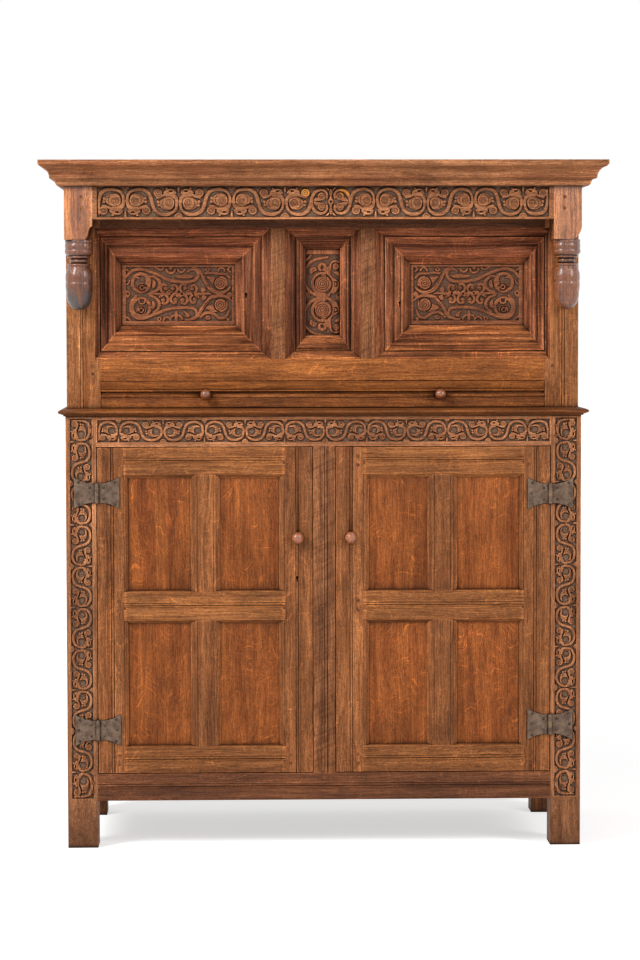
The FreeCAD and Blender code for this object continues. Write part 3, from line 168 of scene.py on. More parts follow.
def oak(name, light, dark, fleck=0.25, streak=0.6, dirt_and_shade=0.9, rough=0.46, shine=0.15,
        coat=0.0, wear_and_highlight=0.6, ripple=0.0, ground=None, reach=0.012, scorch=None, pale=None):
    """Old oak: growth bands, streaks, pores and ray fleck along each board's own grain.

    Corners and hollows darken out to reach, painted shade with some dirt, and edges lighten,
    partly wear and partly painted highlight. A carved board has two colours for its ground. A
    turned piece is painted lighter above a height, a painted light on its block, and may have a
    tip scorched round an x and up to a height.
    """
    s = Shader(bpy.data.materials.new(name))
    grain = s.layer("grain", "Vector")
    sway = s.times(s.minus(s.stretched(grain, 2.2, 9.0), 0.5), 0.05)
    path = s.moved(grain, Y=sway, Z=sway)
    curl = s.stretched(grain, 9.0, 14.0, 1.0, 0.5, (6.1, 2.0, 0.0))
    arcs = s.moved(grain, X=s.times(s.minus(curl, 0.5), 0.16))

    bands = s.stretched(path, 1.4, 46.0, 5.0, 0.62)
    rings = s.stretched(path, 4.0, 230.0, 4.0, 0.68, (3.1, 0.0, 0.0))
    hairs = s.stretched(path, 16.0, 760.0, 3.0, 0.7, (7.7, 0.0, 0.0))
    pores = s.stretched(path, 110.0, 1500.0, 1.0, 0.5, (1.3, 0.0, 0.0))
    rays = s.stretched(arcs, 270.0, 24.0, 2.0, 0.6, (5.9, 0.0, 0.0))
    patches = s.stretched(grain, 10.0, 14.0, 2.0, 0.6, (8.8, 3.0, 0.0))
    blotch = s.stretched(grain, 5.0, 10.0, 4.0, 0.62, (9.3, 0.0, 0.0))
    stain = s.stretched(grain, 14.0, 30.0, 5.0, 0.7, (4.4, 1.0, 0.0))
    speck = s.stretched(grain, 240.0, 420.0, 4.0, 0.75, (2.2, 6.0, 0.0))

    colour = s.mix(s.ramp(bands, (0.36, 0.0), (0.64, 1.0)), rgba(*dark), rgba(*light))
    ring_fac = s.ramp(rings, (0.40, 0.0), (0.58, 1.0))
    colour = s.tint(colour, s.mix(ring_fac, (0.52, 0.44, 0.37, 1.0), (1.17, 1.16, 1.13, 1.0)),
                    streak)
    hair_fac = s.ramp(hairs, (0.42, 0.0), (0.56, 1.0))
    colour = s.tint(colour, s.mix(hair_fac, (0.44, 0.36, 0.30, 1.0), (1.2, 1.2, 1.18, 1.0)), 0.62)
    colour = s.tint(colour, s.ramp(speck, (0.30, 0.62), (0.70, 1.3)))
    pore_fac = s.ramp(pores, (0.34, 1.0), (0.44, 0.0))
    colour = s.mix(s.times(pore_fac, 0.6), colour, rgba(34, 16, 8))
    ray_fac = s.times(s.ramp(rays, (0.60, 0.0), (0.66, 1.0)),
                      s.ramp(patches, (0.38, 0.0), (0.56, 1.0)))
    colour = s.tint(colour, (2.3, 2.2, 1.8, 1.0), s.times(ray_fac, fleck))
    if ripple:
        leaning = s.node("Mapping", {0: path, "Rotation": (0.0, 0.0, 0.45)}).outputs[0]
        across = s.stretched(leaning, 150.0, 11.0, 2.0, 0.5)
        bars = s.times(s.ramp(across, (0.46, 0.0), (0.66, 1.0)), ripple)
        colour = s.tint(colour, (0.42, 0.34, 0.30, 1.0), bars)
    colour = s.tint(colour, s.ramp(blotch, (0.30, 0.62), (0.70, 1.2)))
    stain_fac = s.times(s.ramp(stain, (0.56, 0.0), (0.74, 1.0)), 0.5)
    colour = s.mix(stain_fac, colour, rgba(66, 34, 18))
    # Tone and hue from the mesh: each board's own random tone, darker near the floor, and on the
    # upper frames and mouldings painted light by side, golden below and redder above.
    colour = s.tint(colour, s.ramp(s.layer("tone"), (0.0, 0.42), (0.5, 1.0), (1.0, 1.5)))
    colour = s.tint(colour, s.ramp(s.layer("hue"), (0.0, (1.04, 0.86, 0.82)),
                                   (0.5, (1.0, 1.0, 1.0)), (1.0, (1.08, 1.05, 0.80))))

    if ground:
        ground_fac = s.ramp(s.layer("relief"), (0.10, 1.0), (0.7, 0.0))
        noise = s.stretched(grain, 300.0, 300.0, 3.0, 0.7)
        colour = s.mix(s.times(ground_fac, 0.92), colour,
                       s.mix(s.ramp(noise, (0.36, 0.0), (0.64, 1.0)), *ground))
        let_in = s.times(s.layer("gold"), s.minus(1.0, ground_fac, True))
        colour = s.mix(let_in, colour, s.mix(ring_fac, rgba(184, 112, 44), rgba(222, 150, 72)))
        # Painted shade: cut lines in the carving go near black.
        colour = s.mix(s.times(s.layer("groove"), 0.85), colour, rgba(48, 22, 12))

    if pale:
        where = s.node("SeparateXYZ",
                       {0: s.node("TexCoord").outputs["Object"]}).outputs
        # Painted light: above this height the block is made paler and greyer, as if lit.
        painted_light_above = s.times(s.minus(where["Z"], pale), 400.0, True)
        colour = s.tint(colour, (1.93, 2.4, 3.15, 1.0), painted_light_above)
        if scorch:
            low = s.minus(scorch[1], s.plus(where["Z"], s.times(stain, 0.03)))
            beside = s.maths("ABSOLUTE", s.minus(where["X"], scorch[0]))
            tongue = s.minus(0.013, s.times(low, 0.26))
            clear = s.times(s.minus(beside, tongue), 190.0, True)
            burnt = s.times(s.times(low, 30.0, True), clear)
            colour = s.mix(s.times(burnt, 0.9), colour,
                           s.mix(hair_fac, rgba(38, 32, 32), rgba(70, 60, 56)))

    # Painted shade, partly dirt: corners and hollows within reach darken to near black.
    corner = s.ramp(s.openness(reach, 8), (0.46, 1.0), (0.92, 0.0))
    colour = s.mix(s.times(corner, dirt_and_shade), colour, rgba(22, 10, 6))
    # Painted shade: narrow quirks and hollows within a few millimetres go near black.
    quirk = s.ramp(s.openness(0.0035, 6), (0.55, 1.0), (0.93, 0.0))
    colour = s.mix(s.times(quirk, 0.75), colour, rgba(24, 11, 7))
    # Edges lighten where rubbed: partly wear, partly painted highlight on the arrises.
    arris = s.ramp(s.openness(0.003, 8, inside=True, only_local=True), (0.66, 1.0), (0.97, 0.0))
    rub = s.stretched(grain, 26.0, 60.0, 3.0, 0.65, (0.0, 3.3, 0.0))
    rub_and_highlight = s.times(s.maths("MAXIMUM", arris, s.layer("edge")),
                     s.ramp(rub, (0.34, 0.25), (0.60, 1.0)))
    colour = s.tint(colour, (2.1, 2.05, 2.0, 1.0), s.times(rub_and_highlight, wear_and_highlight))

    height = s.plus(s.times(hair_fac, 0.5), s.times(ring_fac, 0.6))
    height = s.minus(height, s.times(pore_fac, 0.9))
    height = s.plus(height, s.times(blotch, 1.6))
    height = s.plus(height, s.times(speck, 0.8))
    dull = s.plus(rough - 0.08, s.times(blotch, 0.2), True)
    dull = s.plus(dull, s.times(corner, 0.3), True)
    return s.surface(height, 0.5, 0.0008, Base_Color=colour, Roughness=dull, Coat_Weight=coat,
                     Specular_IOR_Level=shine, Coat_Roughness=0.2, IOR=1.46)


def metal(name, dark, light, rust, brass, rough=0.42, hammered=0.0016):
    """Worn iron: dark, with a polish on what is touched, rust brown in spots, and near black in
    the hollows: painted shade, partly grime.
    """
    s = Shader(bpy.data.materials.new(name))
    grain = s.layer("grain", "Vector")
    large = s.stretched(grain, 60.0, 60.0, 4.0, 0.65)
    small = s.stretched(grain, 330.0, 330.0, 3.0, 0.65, (2.0, 5.0, 1.0))
    yellow = s.stretched(grain, 18.0, 18.0, 2.0, 0.5, (7.0, 1.0, 4.0))
    colour = s.mix(s.ramp(large, (0.4, 0.0), (0.62, 1.0)), dark, light)
    colour = s.mix(s.ramp(small, (0.52, 0.0), (0.66, 0.75)), colour, rust)
    colour = s.mix(s.ramp(yellow, (0.60, 0.0), (0.70, 0.5)), colour, brass)
    colour = s.tint(colour, s.ramp(s.layer("tone"), (0.1, 0.35), (0.4, 1.0)))
    wear = s.times(s.layer("edge"), s.ramp(small, (0.35, 0.2), (0.6, 1.0)))
    colour = s.mix(wear, colour, (0.34, 0.29, 0.24, 1.0))
    # Painted shade, partly grime: hollows and what lies close to the wood go near black.
    grime_and_shade = s.ramp(s.openness(0.008, 6), (0.3, 0.8), (0.8, 0.0))
    colour = s.mix(grime_and_shade, colour, (0.015, 0.012, 0.01, 1.0))
    return s.surface(s.plus(large, s.times(small, 0.3)), 0.6, hammered, Base_Color=colour,
                     Roughness=s.plus(rough, s.times(small, 0.22), True), Metallic=0.75)


GROUND = (rgba(88, 60, 44), rgba(138, 110, 90))
PANEL_GROUND = (rgba(66, 40, 28), rgba(108, 80, 62))
FRAME_OAK = oak("oak_frame", (190, 125, 76), (148, 91, 53), 0.5)
DOOR_OAK = oak("oak_door", (182, 118, 71), (140, 86, 50), 0.5, dirt_and_shade=0.95)
RIPPLE_OAK = oak("oak_ripple", (184, 122, 80), (144, 91, 57), 0.3, ripple=0.5)
GOLD_OAK = oak("oak_gold", (192, 118, 60), (156, 91, 44), 0.5)
TOP_OAK = oak("oak_top", (152, 92, 46), (108, 62, 30), 0.3)
PANEL_OAK = oak("oak_panel", (176, 101, 49), (138, 74, 34), 0.75, 0.3, wear_and_highlight=0.3,
                reach=0.026)
DRAWER_OAK = oak("oak_drawer", (190, 115, 54), (132, 74, 34), 0.4)
DARK_OAK = oak("oak_dark", (142, 89, 57), (100, 60, 38), 0.3)
RED_OAK = oak("oak_red", (190, 120, 81), (114, 64, 42), 0.8, 1.0, wear_and_highlight=1.0,
              reach=0.020)
CORNICE_OAK = oak("oak_cornice", (206, 141, 96), (160, 99, 63), 0.25)
CARVED_OAK = oak("oak_carved", (196, 134, 92), (156, 100, 66), 0.15, 0.5, 0.94,
                 wear_and_highlight=0.9, ground=GROUND)
CARVED_PANEL = oak("oak_carved_panel", (168, 104, 68), (130, 76, 48), 0.1, 0.5, 0.9,
                   wear_and_highlight=0.9, ground=PANEL_GROUND)
PENDANT_LOW, PENDANT_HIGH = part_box("pendant_left")
PENDANT_BLOCK = PENDANT_LOW[2] + 0.172
SCORCH = ((PENDANT_LOW[0] + PENDANT_HIGH[0]) / 2 + 0.005, PENDANT_LOW[2] + 0.080)
TURNED_DARK = oak("oak_turned_dark", (168, 98, 50), (104, 52, 27), 0.2, 0.7, 0.85, 0.22,
                  0.45, 0.6, pale=PENDANT_BLOCK, scorch=SCORCH)
TURNED_OAK = oak("oak_turned", (172, 102, 56), (106, 56, 31), 0.2, 0.7, 0.85, 0.22, 0.45,
                 0.6, pale=PENDANT_BLOCK)
KNOB_OAK = oak("oak_knob", (186, 106, 58), (146, 78, 42), 0.1, 0.4, 0.7, 0.2, 0.5, 0.9)
INNER_OAK = oak("oak_inner", (150, 108, 72), (104, 70, 44), 0.1, 0.6, 0.7, 0.7, 0.1)
IRON = metal("iron_worn", (0.085, 0.055, 0.038, 1.0), (0.175, 0.118, 0.082, 1.0),
             (0.15, 0.070, 0.036, 1.0), (0.26, 0.17, 0.08, 1.0))


# Meshes from the CAD nodes

def finished(node, bm, material, angle):
    """Object of a finished mesh, riding on its node's body and standing for the node."""
    mesh = bpy.data.meshes.new(node + "_piece")
    bm.to_mesh(mesh)
    bm.free()
    mesh.shade_smooth()
    mesh.set_sharp_from_angle(angle=math.radians(angle))
    mesh.materials.append(material)
    piece = bpy.data.objects.new(node + "_piece", mesh)
    bpy.context.scene.collection.objects.link(piece)
    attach(piece, BODY_OF[node])
    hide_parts(node)


def solids(mesh):
    """Face indices of each closed solid of a node, in the order they come."""
    keys = [tuple(round(c * 1e6) for c in v.co) for v in mesh.vertices]
    groups, group, loose = [], [], set()
    for polygon in mesh.polygons:
        ring = [keys[i] for i in polygon.vertices]
        for a, b in zip(ring, ring[1:] + ring[:1]):
            if a != b:
                loose ^= {(min(a, b), max(a, b))}
        group.append(polygon.index)
        if not loose:
            groups.append(group)
            group = []
    return groups


def each_once(things):
    """Things without repeats, in the order they come, so that every run is the same."""
    return list(dict.fromkeys(things))


def painted_light_by_side(node):
    """Painted light on a moulding or door member, by the side of its opening that it is on:
    uprights on the right, which face the light from the left, lighter and those on the left
    darker; bottom members, facing up, lighter and golden; top ones, facing down, darker and
    redder.
    """
    low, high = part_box(node)
    middle = (low.z + high.z) / 2

    def choose(co):
        size, centre = co.max(0) - co.min(0), (co.max(0) + co.min(0)) / 2
        opening = min(UPPER_OPENINGS, key=lambda x: abs(centre[0] - x))
        if size[0] < size[2]:
            right = centre[0] > opening
            return (RNG.uniform(0.72, 0.82) if right else RNG.uniform(0.50, 0.58)), 0.5
        if centre[2] < middle:
            return RNG.uniform(0.78, 0.86), 0.95
        return RNG.uniform(0.48, 0.56), 0.2
    return choose


def near_floor(z):
    """How much of its tone the wood keeps close to the floor: darker towards the floor."""
    return min(1.0, 0.1 + 5.0 * max(z, 0.0))


def even(co):
    """Tone and hue of boards that were cut from one tree."""
    return RNG.uniform(0.46, 0.57), 0.5


def duller(co):
    """Tone and hue of the rippled muntins."""
    return RNG.uniform(0.38, 0.43), 0.5


def by_direction(co):
    """Tone and hue of a lower door's member: upright ones duller, level ones golden."""
    size, centre = co.max(0) - co.min(0), (co.max(0) + co.min(0)) / 2
    if size[0] < size[2]:
        return RNG.uniform(0.38, 0.46), 0.42
    return (RNG.uniform(0.32, 0.36) if centre[2] < 0.35 else RNG.uniform(0.48, 0.56)), 0.7


def grain_layers(bm, groups, along=None, tone=None):
    """Give each solid its own grain direction, place in the tree, tone and hue."""
    grain, tones = bm.verts.layers.float_vector["grain"], bm.verts.layers.float["tone"]
    hues = bm.verts.layers.float["hue"]
    for group in groups:
        co = np.array([v.co for v in group])
        size = co.max(0) - co.min(0)
        order = [int(axis) for axis in np.argsort(-size)]
        if along is not None:
            order = [along] + [axis for axis in order if axis != along]
        shift = RNG.uniform(0.0, 2.0, 3)
        value, hue = float(np.clip(RNG.normal(0.5, 0.13), 0.1, 0.9)), 0.5
        if callable(tone):
            value, hue = tone(co)
        elif tone is not None:
            value = tone
        if size.max() < SMALL_PIECE:
            value *= SMALL_PIECE_TONE
        for v in group:
            v[grain] = Vector([v.co[order[i]] + shift[i] for i in range(3)])
            v[tones], v[hues] = value * near_floor(v.co.z), hue


def reach_of(face, edge):
    """How far a face runs from one of its edges."""
    a, b = edge.verts[0].co, edge.verts[1].co
    line = (b - a).normalized()
    return max(((v.co - a) - line * (v.co - a).dot(line)).length for v in face.verts)


def soften(bm, width):
    """Round the long outer edges between faces that are wide enough, and mark them for the lighter
    edge colour: partly wear, partly painted highlight.
    """
    wear_and_highlight = bm.faces.layers.float["edge"]
    chosen = []
    for e in bm.edges:
        if len(e.link_faces) != 2 or e.calc_length() < 6 * width or not e.is_convex:
            continue
        if e.calc_face_angle(0.0) < math.radians(38):
            continue
        if min(reach_of(f, e) for f in e.link_faces) > 3.2 * width:
            chosen.append(e)
    if chosen:
        made = bmesh.ops.bevel(bm, geom=chosen, offset=width, offset_type="OFFSET", segments=2,
                               profile=0.6, clamp_overlap=True, affect="EDGES")
        for f in made["faces"]:
            f[wear_and_highlight] = 1.0


def close_joints(members):
    """Let neighbouring boards of a back meet, so no daylight shows between them."""
    spans = [(min(v.co.x for v in m), max(v.co.x for v in m)) for m in members]
    low, high = min(a for a, _ in spans), max(b for _, b in spans)
    for group, (a, b) in zip(members, spans):
        for v in group:
            if abs(v.co.x - a) < 1e-5 and a > low + 1e-4:
                v.co.x -= BOARD_WIDENING
            elif abs(v.co.x - b) < 1e-5 and b < high - 1e-4:
                v.co.x += BOARD_WIDENING


def welded(node, width, along=None, tone=None):
    """Mesh of a CAD node with each solid closed, softened and given its grain."""
    mesh = frame["nodes"][node].data
    bm = bmesh.new()
    bm.from_mesh(mesh)
    which = bm.faces.layers.int.new("solid")
    bm.verts.layers.float_vector.new("grain")
    bm.verts.layers.float.new("tone")
    bm.verts.layers.float.new("hue")
    bm.faces.layers.float.new("edge")
    bm.faces.ensure_lookup_table()
    groups = solids(mesh)
    for number, group in enumerate(groups):
        for i in group:
            bm.faces[i][which] = number
    for number in range(len(groups)):
        verts = each_once(v for f in bm.faces if f[which] == number for v in f.verts)
        bmesh.ops.remove_doubles(bm, verts=verts, dist=1e-6)
    bmesh.ops.dissolve_limit(bm, angle_limit=math.radians(0.4), use_dissolve_boundaries=False,
                             verts=bm.verts, edges=bm.edges, delimit={"NORMAL"})
    if width:
        soften(bm, width)
    members = [set() for _ in groups]
    for f in bm.faces:
        members[f[which]].update(f.verts)
    if node.endswith("back_boards"):
        close_joints(members)
    grain_layers(bm, members, along, tone)
    return bm


def dress(node, material, width=EASED_OAK, along=None, tone=None, angle=32.0):
    """Piece that stands for a CAD node, in the same place, softened and with its grain."""
    finished(node, welded(node, width, along, tone), material, angle)


# Carving

def smooth_line(points, spacing, closed=False):
    """Points along a Catmull-Rom curve through the given rows, which may hold widths too."""
    p = np.array(points, float)
    if closed:
        p = np.vstack([p[-1], p, p[:2]])
    else:
        p = np.vstack([2 * p[0] - p[1], p, 2 * p[-1] - p[-2]])
    out = []
    for a, b, c, d in zip(p, p[1:], p[2:], p[3:]):
        n = max(2, int(np.hypot(*(c - b)[:2]) / spacing) + 1)
        t = np.linspace(0, 1, n, endpoint=False)[:, None]
        out.append(0.5 * ((2 * b) + (c - a) * t + (2 * a - 5 * b + 4 * c - d) * t ** 2 +
                          (3 * b - a - 3 * c + d) * t ** 3))
    if not closed:
        out.append(p[-2][None, :])
    return np.vstack(out)


def sink(window, d, out):
    """Keep the deepest of what is sunk."""
    np.maximum(window, -d, out=out)


class Carving:
    """Field of raised work on a sunk ground, drawn in millimetres from its centre."""

    FAR, REACH, CUT_REACH = 9.0, 3.5, 1.5
    WALL_INSET, WALL_WIDTH = 1.15, 1.55
    CROWN_INSET, CROWN_WIDTH, CROWN_DROP = 3.6, 3.0, 0.55
    CUT_FLAT, CUT_WIDTH, CUT_DEPTH = 0.75, 0.95, 1.3

    def __init__(self, rect, step, depth, level=None):
        """Field for a rectangle in metres; v is drawn from its middle or a level in mm."""
        x0, x1, z0, z1 = rect
        width, height = (x1 - x0) / MM, (z1 - z0) / MM
        self.nx, self.nz = int(round(width / step)) + 1, int(round(height / step)) + 1
        self.us = np.linspace(-width / 2, width / 2, self.nx)
        self.vs = np.linspace(-height / 2, height / 2, self.nz)
        if level is not None:
            self.vs -= level - (z0 + z1) / 2 / MM
        self.step, self.depth = step, depth
        self.raised = np.full((self.nz, self.nx), self.FAR)
        self.cuts, self.holes = self.raised.copy(), -self.raised
        self.gold = np.zeros_like(self.raised)
        self.place = (0.0, 0.0, 1.0, 1.0, False)

    def at(self, u, v, su=1.0, sv=1.0, turned=False):
        """Put what is drawn next at (u, v), with its own scales; turned swaps its two axes."""
        self.place = (u, v, su, sv, turned)

    def _put(self, points):
        u0, v0, su, sv, turned = self.place
        p = np.array(points, float)
        q = p.copy()
        q[:, 0], q[:, 1] = p[:, 0] * su, p[:, 1] * sv
        if turned:
            q[:, [0, 1]] = q[:, [1, 0]]
        q[:, 0] += u0
        q[:, 1] += v0
        if q.shape[1] > 2:
            q[:, 2] *= math.sqrt(abs(su * sv))
        return q

    def _stamp(self, field, u, v, r, keep, reach):
        i0, i1 = np.searchsorted(self.us, (u - r - reach, u + r + reach))
        j0, j1 = np.searchsorted(self.vs, (v - r - reach, v + r + reach))
        if i0 >= i1 or j0 >= j1:
            return
        d = np.hypot(self.us[None, i0:i1] - u, self.vs[j0:j1, None] - v) - r
        window = field[j0:j1, i0:i1]
        keep(window, d, out=window)

    def _rounds(self, rows):
        """Rounds close together along a curve; rows are (u, v, half width)."""
        return smooth_line(self._put(rows), self.step * 0.6)

    def stroke(self, rows):
        """Raised band along a curve."""
        for u, v, r in self._rounds(rows):
            self._stamp(self.raised, u, v, max(r, 0.4), np.minimum, self.REACH)

    def channel(self, rows):
        """Line sunk to the ground through raised work."""
        for u, v, r in self._rounds(rows):
            self._stamp(self.holes, u, v, r + 0.35, sink, 0.0)

    def leaf(self, points):
        """Raised shape inside a smooth closed outline."""
        line = smooth_line(self._put(points), self.step * 2.5, True)
        low, high = line.min(0) - self.REACH, line.max(0) + self.REACH
        i0, i1 = np.searchsorted(self.us, (low[0], high[0]))
        j0, j1 = np.searchsorted(self.vs, (low[1], high[1]))
        u, v = np.meshgrid(self.us[i0:i1], self.vs[j0:j1])
        near, inside = np.full(u.shape, self.FAR), np.zeros(u.shape, bool)
        for (ua, va), (ub, vb) in zip(line, np.roll(line, -1, 0)):
            du, dv = ub - ua, vb - va
            t = np.clip(((u - ua) * du + (v - va) * dv) / (du * du + dv * dv + 1e-12), 0, 1)
            near = np.minimum(near, np.hypot(u - ua - t * du, v - va - t * dv))
            crossed = (va > v) != (vb > v)
            inside ^= crossed & (u < ua + (v - va) * du / (dv if dv else 1e-12))
        window = self.raised[j0:j1, i0:i1]
        np.minimum(window, np.where(inside, -near, near), out=window)

    def groove(self, rows):
        """Line cut into raised work."""
        for u, v, r in self._rounds(rows):
            self._stamp(self.cuts, u, v, r, np.minimum, self.CUT_REACH)

    def disc(self, u, v, r):
        """Raised round."""
        u, v, r = self._put([(u, v, r)])[0]
        self._stamp(self.raised, u, v, r, np.minimum, self.REACH)

    def hole(self, u, v, r):
        """Round sunk to the ground through raised work."""
        u, v, r = self._put([(u, v, r)])[0]
        self._stamp(self.holes, u, v, r, sink, 0.0)

    def spiral(self, u, v, r0, r1, turns, start=0.0, width=0.75):
        """Spiral groove from radius r0 in to r1."""
        n = int(abs(turns) * 24) + 2
        rows = []
        for i in range(n):
            t = i / (n - 1)
            a, r = start + turns * 2 * math.pi * t, r0 + (r1 - r0) * t
            rows.append((u + r * math.cos(a), v + r * math.sin(a), width))
        self.groove(rows)

    def border(self, width, height):
        """Plain raised margin round a field of this size."""
        u, v = abs(self.us[None, :]) - width / 2, abs(self.vs[:, None]) - height / 2
        inside = -np.maximum(u, v)
        self.raised = np.minimum(self.raised, inside)
        self.cuts = np.where(inside < 1.0, self.FAR, self.cuts)

    def gild(self, u, v, r):
        """Where newer, lighter wood was let in."""
        d = np.hypot(self.us[None, :] - u, self.vs[:, None] - v)
        self.gold = np.maximum(self.gold, np.clip((r - d) / 1.5 + 0.5, 0, 1))

    def surface(self, rough=0.35):
        """Depth below the face, and how far each point is raised and grooved."""
        d = np.maximum(self.raised, self.holes)
        wall = np.clip((d + self.WALL_INSET) / self.WALL_WIDTH, 0.0, 1.0)
        wall = wall * wall * (3 - 2 * wall)
        crown = np.clip((d + self.CROWN_INSET) / self.CROWN_WIDTH, 0.0, 1.0) ** 2
        line = np.clip(1.0 - (self.cuts + self.CUT_FLAT) / self.CUT_WIDTH, 0.0, 1.0)
        grit = RNG.normal(0.0, 1.0, d.shape)
        grit = (grit + np.roll(grit, 1, 0) + np.roll(grit, 1, 1) + np.roll(grit, 1, (0, 1))) / 2.0
        facets = np.sin(self.us[None, :] * 0.9) * np.sin(self.vs[:, None] * 0.8 +
                                                         self.us[None, :] * 0.3)
        depth = wall * (self.depth + rough * grit * 0.5 + 0.25 * facets)
        depth += (1 - wall) * (self.CROWN_DROP * crown + self.CUT_DEPTH * line + 0.06 * grit)
        return np.maximum(depth, 0.0), 1 - wall, line * (1 - wall)


SCROLL_LENGTH = 65.5
SCROLL_HEIGHT = 37.0


def frieze_half(c, kind, end=False, eye="spiral"):
    """Half of a pair of scrolls: one arch, its volute, a small volute and the leaves between."""
    j = RNG.uniform(-0.7, 0.7, (16, 2))
    arch = [(65.5, 0, 4.9), (62.2, 12, 4.9), (56.8, 21.6, 5), (48.5, 28.2, 5), (38.5, 31, 5),
            (27.5, 30.8, 5), (16.5, 26.3, 5), (8.4, 17.5, 4.9), (5.2, 6.5, 4.9), (4.8, -4, 4.8),
            (9.5, -13.6, 4.5), (19, -18.2, 3.9), (31, -17.6, 3.8), (42, -13, 4), (52, -11, 4)]
    if end:
        arch[:3] = [(61.8, -30, 2.6), (61.6, -14, 3.2), (60.8, 6, 4.2), (56.3, 21.6, 5)]
    rows = [(u + j[i][0] * (4 < i < 13), v + j[i][1] * (4 < i < 13), w)
            for i, (u, v, w) in enumerate(arch)]
    c.stroke(rows)
    cu, cv = 24.3 + j[0][0], 2.6 + j[0][1]
    c.leaf([(12, 14), (19, 19.4), (31, 20.4), (41, 16.5), (46, 11), (47, 2), (45, -3),
            (39, -8), (33, -12), (24, -3), (14, 2)])
    c.disc(49.0 + j[5][0] * 0.4, 8.2, 4.3)
    c.disc(50.2, 0.2 + j[5][1] * 0.4, 4.5)
    c.disc(cu, cv, 16.0)
    c.stroke([(6, -9, 4.2), (12, -10, 4.2), (20, -12.4, 4), (30, -13.4, 3)])
    if eye == "spiral":
        c.channel([(43, 22.6, 0.5), (35, 24.4, 1.3), (25, 23.6, 1.6), (16.5, 20.4, 1.6),
                   (11.4, 14.5, 1.3), (9.2, 7.5, 0.9), (9.2, 1, 0.4)])
        c.groove([(9.4, 2, 0.9), (11, -5, 1.0), (17, -10.2, 1.0), (26, -11.6, 1.0),
                  (35, -8.6, 0.9), (41, -4, 0.4)])
        c.spiral(cu, cv, 9.6, 1.8, 2.4, 1.9, 0.95)
        c.groove([(29, 19.5, 0.5), (36, 14, 1.0), (40, 5, 1.1), (37, -5, 0.8)])
    else:
        c.hole(22.3 + j[1][0], 1.5 + j[1][1], 12.0)
        c.channel([(44, 24, 0.4), (35, 24.6, 0.9), (25, 23.2, 1.0), (17, 19.4, 0.5)])
        c.channel([(26, -13.4, 0.4), (34, -10.5, 0.9), (41, -5.5, 0.5)])
        c.groove([(33, 16.5, 0.5), (38, 12, 0.9), (40.5, 4, 0.9), (38, -3, 0.5)])
    c.groove([(41, 13.5, 0.5), (43.4, 8.5, 0.9), (43.6, 3.5, 0.5)])
    c.groove([(36.5, 17.5, 0.4), (39.5, 12.5, 0.7), (42, 9, 0.4)])
    c.disc(51.5 + j[3][0], -21.2, 11.0)
    c.spiral(51.5 + j[3][0], -21.2, 7.4, 1.6, 1.6, 2.4, 1.05)
    c.channel([(39.5, -21, 0.9), (41, -28, 1.0), (46, -33, 0.8)])
    c.leaf([(6, -19), (7, -26.5), (13, -32), (23, -33), (32, -29.5), (38, -22.5), (35, -18),
            (22, -16)])
    c.channel([(15.5 + j[4][0], -26.4, 0.9), (19.5 + j[4][0], -24.8, 1.3),
               (22.5 + j[4][0], -26.2, 0.7)])
    c.disc(29.5, -33.0, 3.6)
    c.groove([(33, -21.6, 0.5), (27, -22.2, 0.8), (23, -23.2, 0.4)])
    c.groove([(9, -20, 0.4), (10, -25, 0.9), (14, -29, 0.5)])
    c.stroke([(0, -22, 1.0), (0, -28, 2.6), (0, -37, 3.6)])
    if kind > 0:
        c.stroke([(0, 39, 9.5), (0, 35.5, 7), (0.6, 30.5, 3.2)])
        c.spiral(1.4, 34.2, 4.2, 1.0, 1.2, 0.5, 0.7)
    else:
        c.disc(0, 38.5, 11.5)
        c.groove([(-6.5, 38, 0.6), (-4, 32.5, 0.9), (2, 31.4, 0.9), (6.4, 36, 0.6)])
        c.hole(0, -16.5, 2.8)


def scroll_run(c, pairs, low, high, half_height, eye, turned=False, ends=(True, True)):
    """Row of scroll pairs that arch to one side and the other in turn."""
    sv = half_height / SCROLL_HEIGHT
    for i, (place, kind) in enumerate(pairs):
        before = low if i == 0 else (pairs[i - 1][0] + place) / 2
        after = high if i == len(pairs) - 1 else (pairs[i + 1][0] + place) / 2
        for side, length, end in ((-1, place - before, ends[0] and i == 0),
                                  (1, after - place, ends[1] and i == len(pairs) - 1)):
            su = length / SCROLL_LENGTH
            at = (0.0, place) if turned else (place, 0.0)
            c.at(*at, side * su, kind * sv, turned)
            frieze_half(c, kind, end, eye)
    c.at(0, 0)


def middle_ornament(c, u, half):
    """Plain scrolls and leaves of the same carving that fill the middle of the frieze."""
    for side in (-1, 1):
        for up in (-1, 1):
            c.at(u, 0, side * half / 48, up)
            c.stroke([(48, 0, 4.8), (45.5, 12, 4.6), (39, 22.5, 4.4), (28.5, 28.5, 4.2),
                      (16.5, 27, 3.8), (9.6, 18.5, 3.6), (10, 10, 3.2)])
            c.disc(22.5, 13, 10.2)
            c.spiral(22.5, 13, 7.4, 1.6, 1.7, 2.2, 1.0)
            c.leaf([(28, 8), (36, 11), (42, 6), (43, 0), (34, 0), (24, 2.4)])
            c.leaf([(3, 30), (8, 35), (16, 37), (12, 32.5), (5.5, 25.5)])
    c.at(u, 0, half / 48, 1)
    c.leaf([(0, -33), (4.6, -23), (2.8, -12), (6.8, 0), (2.8, 12), (4.6, 23), (0, 33), (-4.6, 23),
            (-2.8, 12), (-6.8, 0), (-2.8, -12), (-4.6, -23)])
    c.hole(0, 0, 2.4)
    c.groove([(0, 14, 0.5), (0, 21, 0.9), (0, 28, 0.5)])
    c.groove([(0, -14, 0.5), (0, -21, 0.9), (0, -28, 0.5)])
    c.at(0, 0)


def arc(u, v, r, start, end, width):
    """Rows of a circular stroke, with its angles in degrees."""
    count = max(4, int(abs(end - start) / 20) + 1)
    turns = [math.radians(start + (end - start) * i / (count - 1)) for i in range(count)]
    return [(u + r * math.cos(t), v + r * math.sin(t), width) for t in turns]


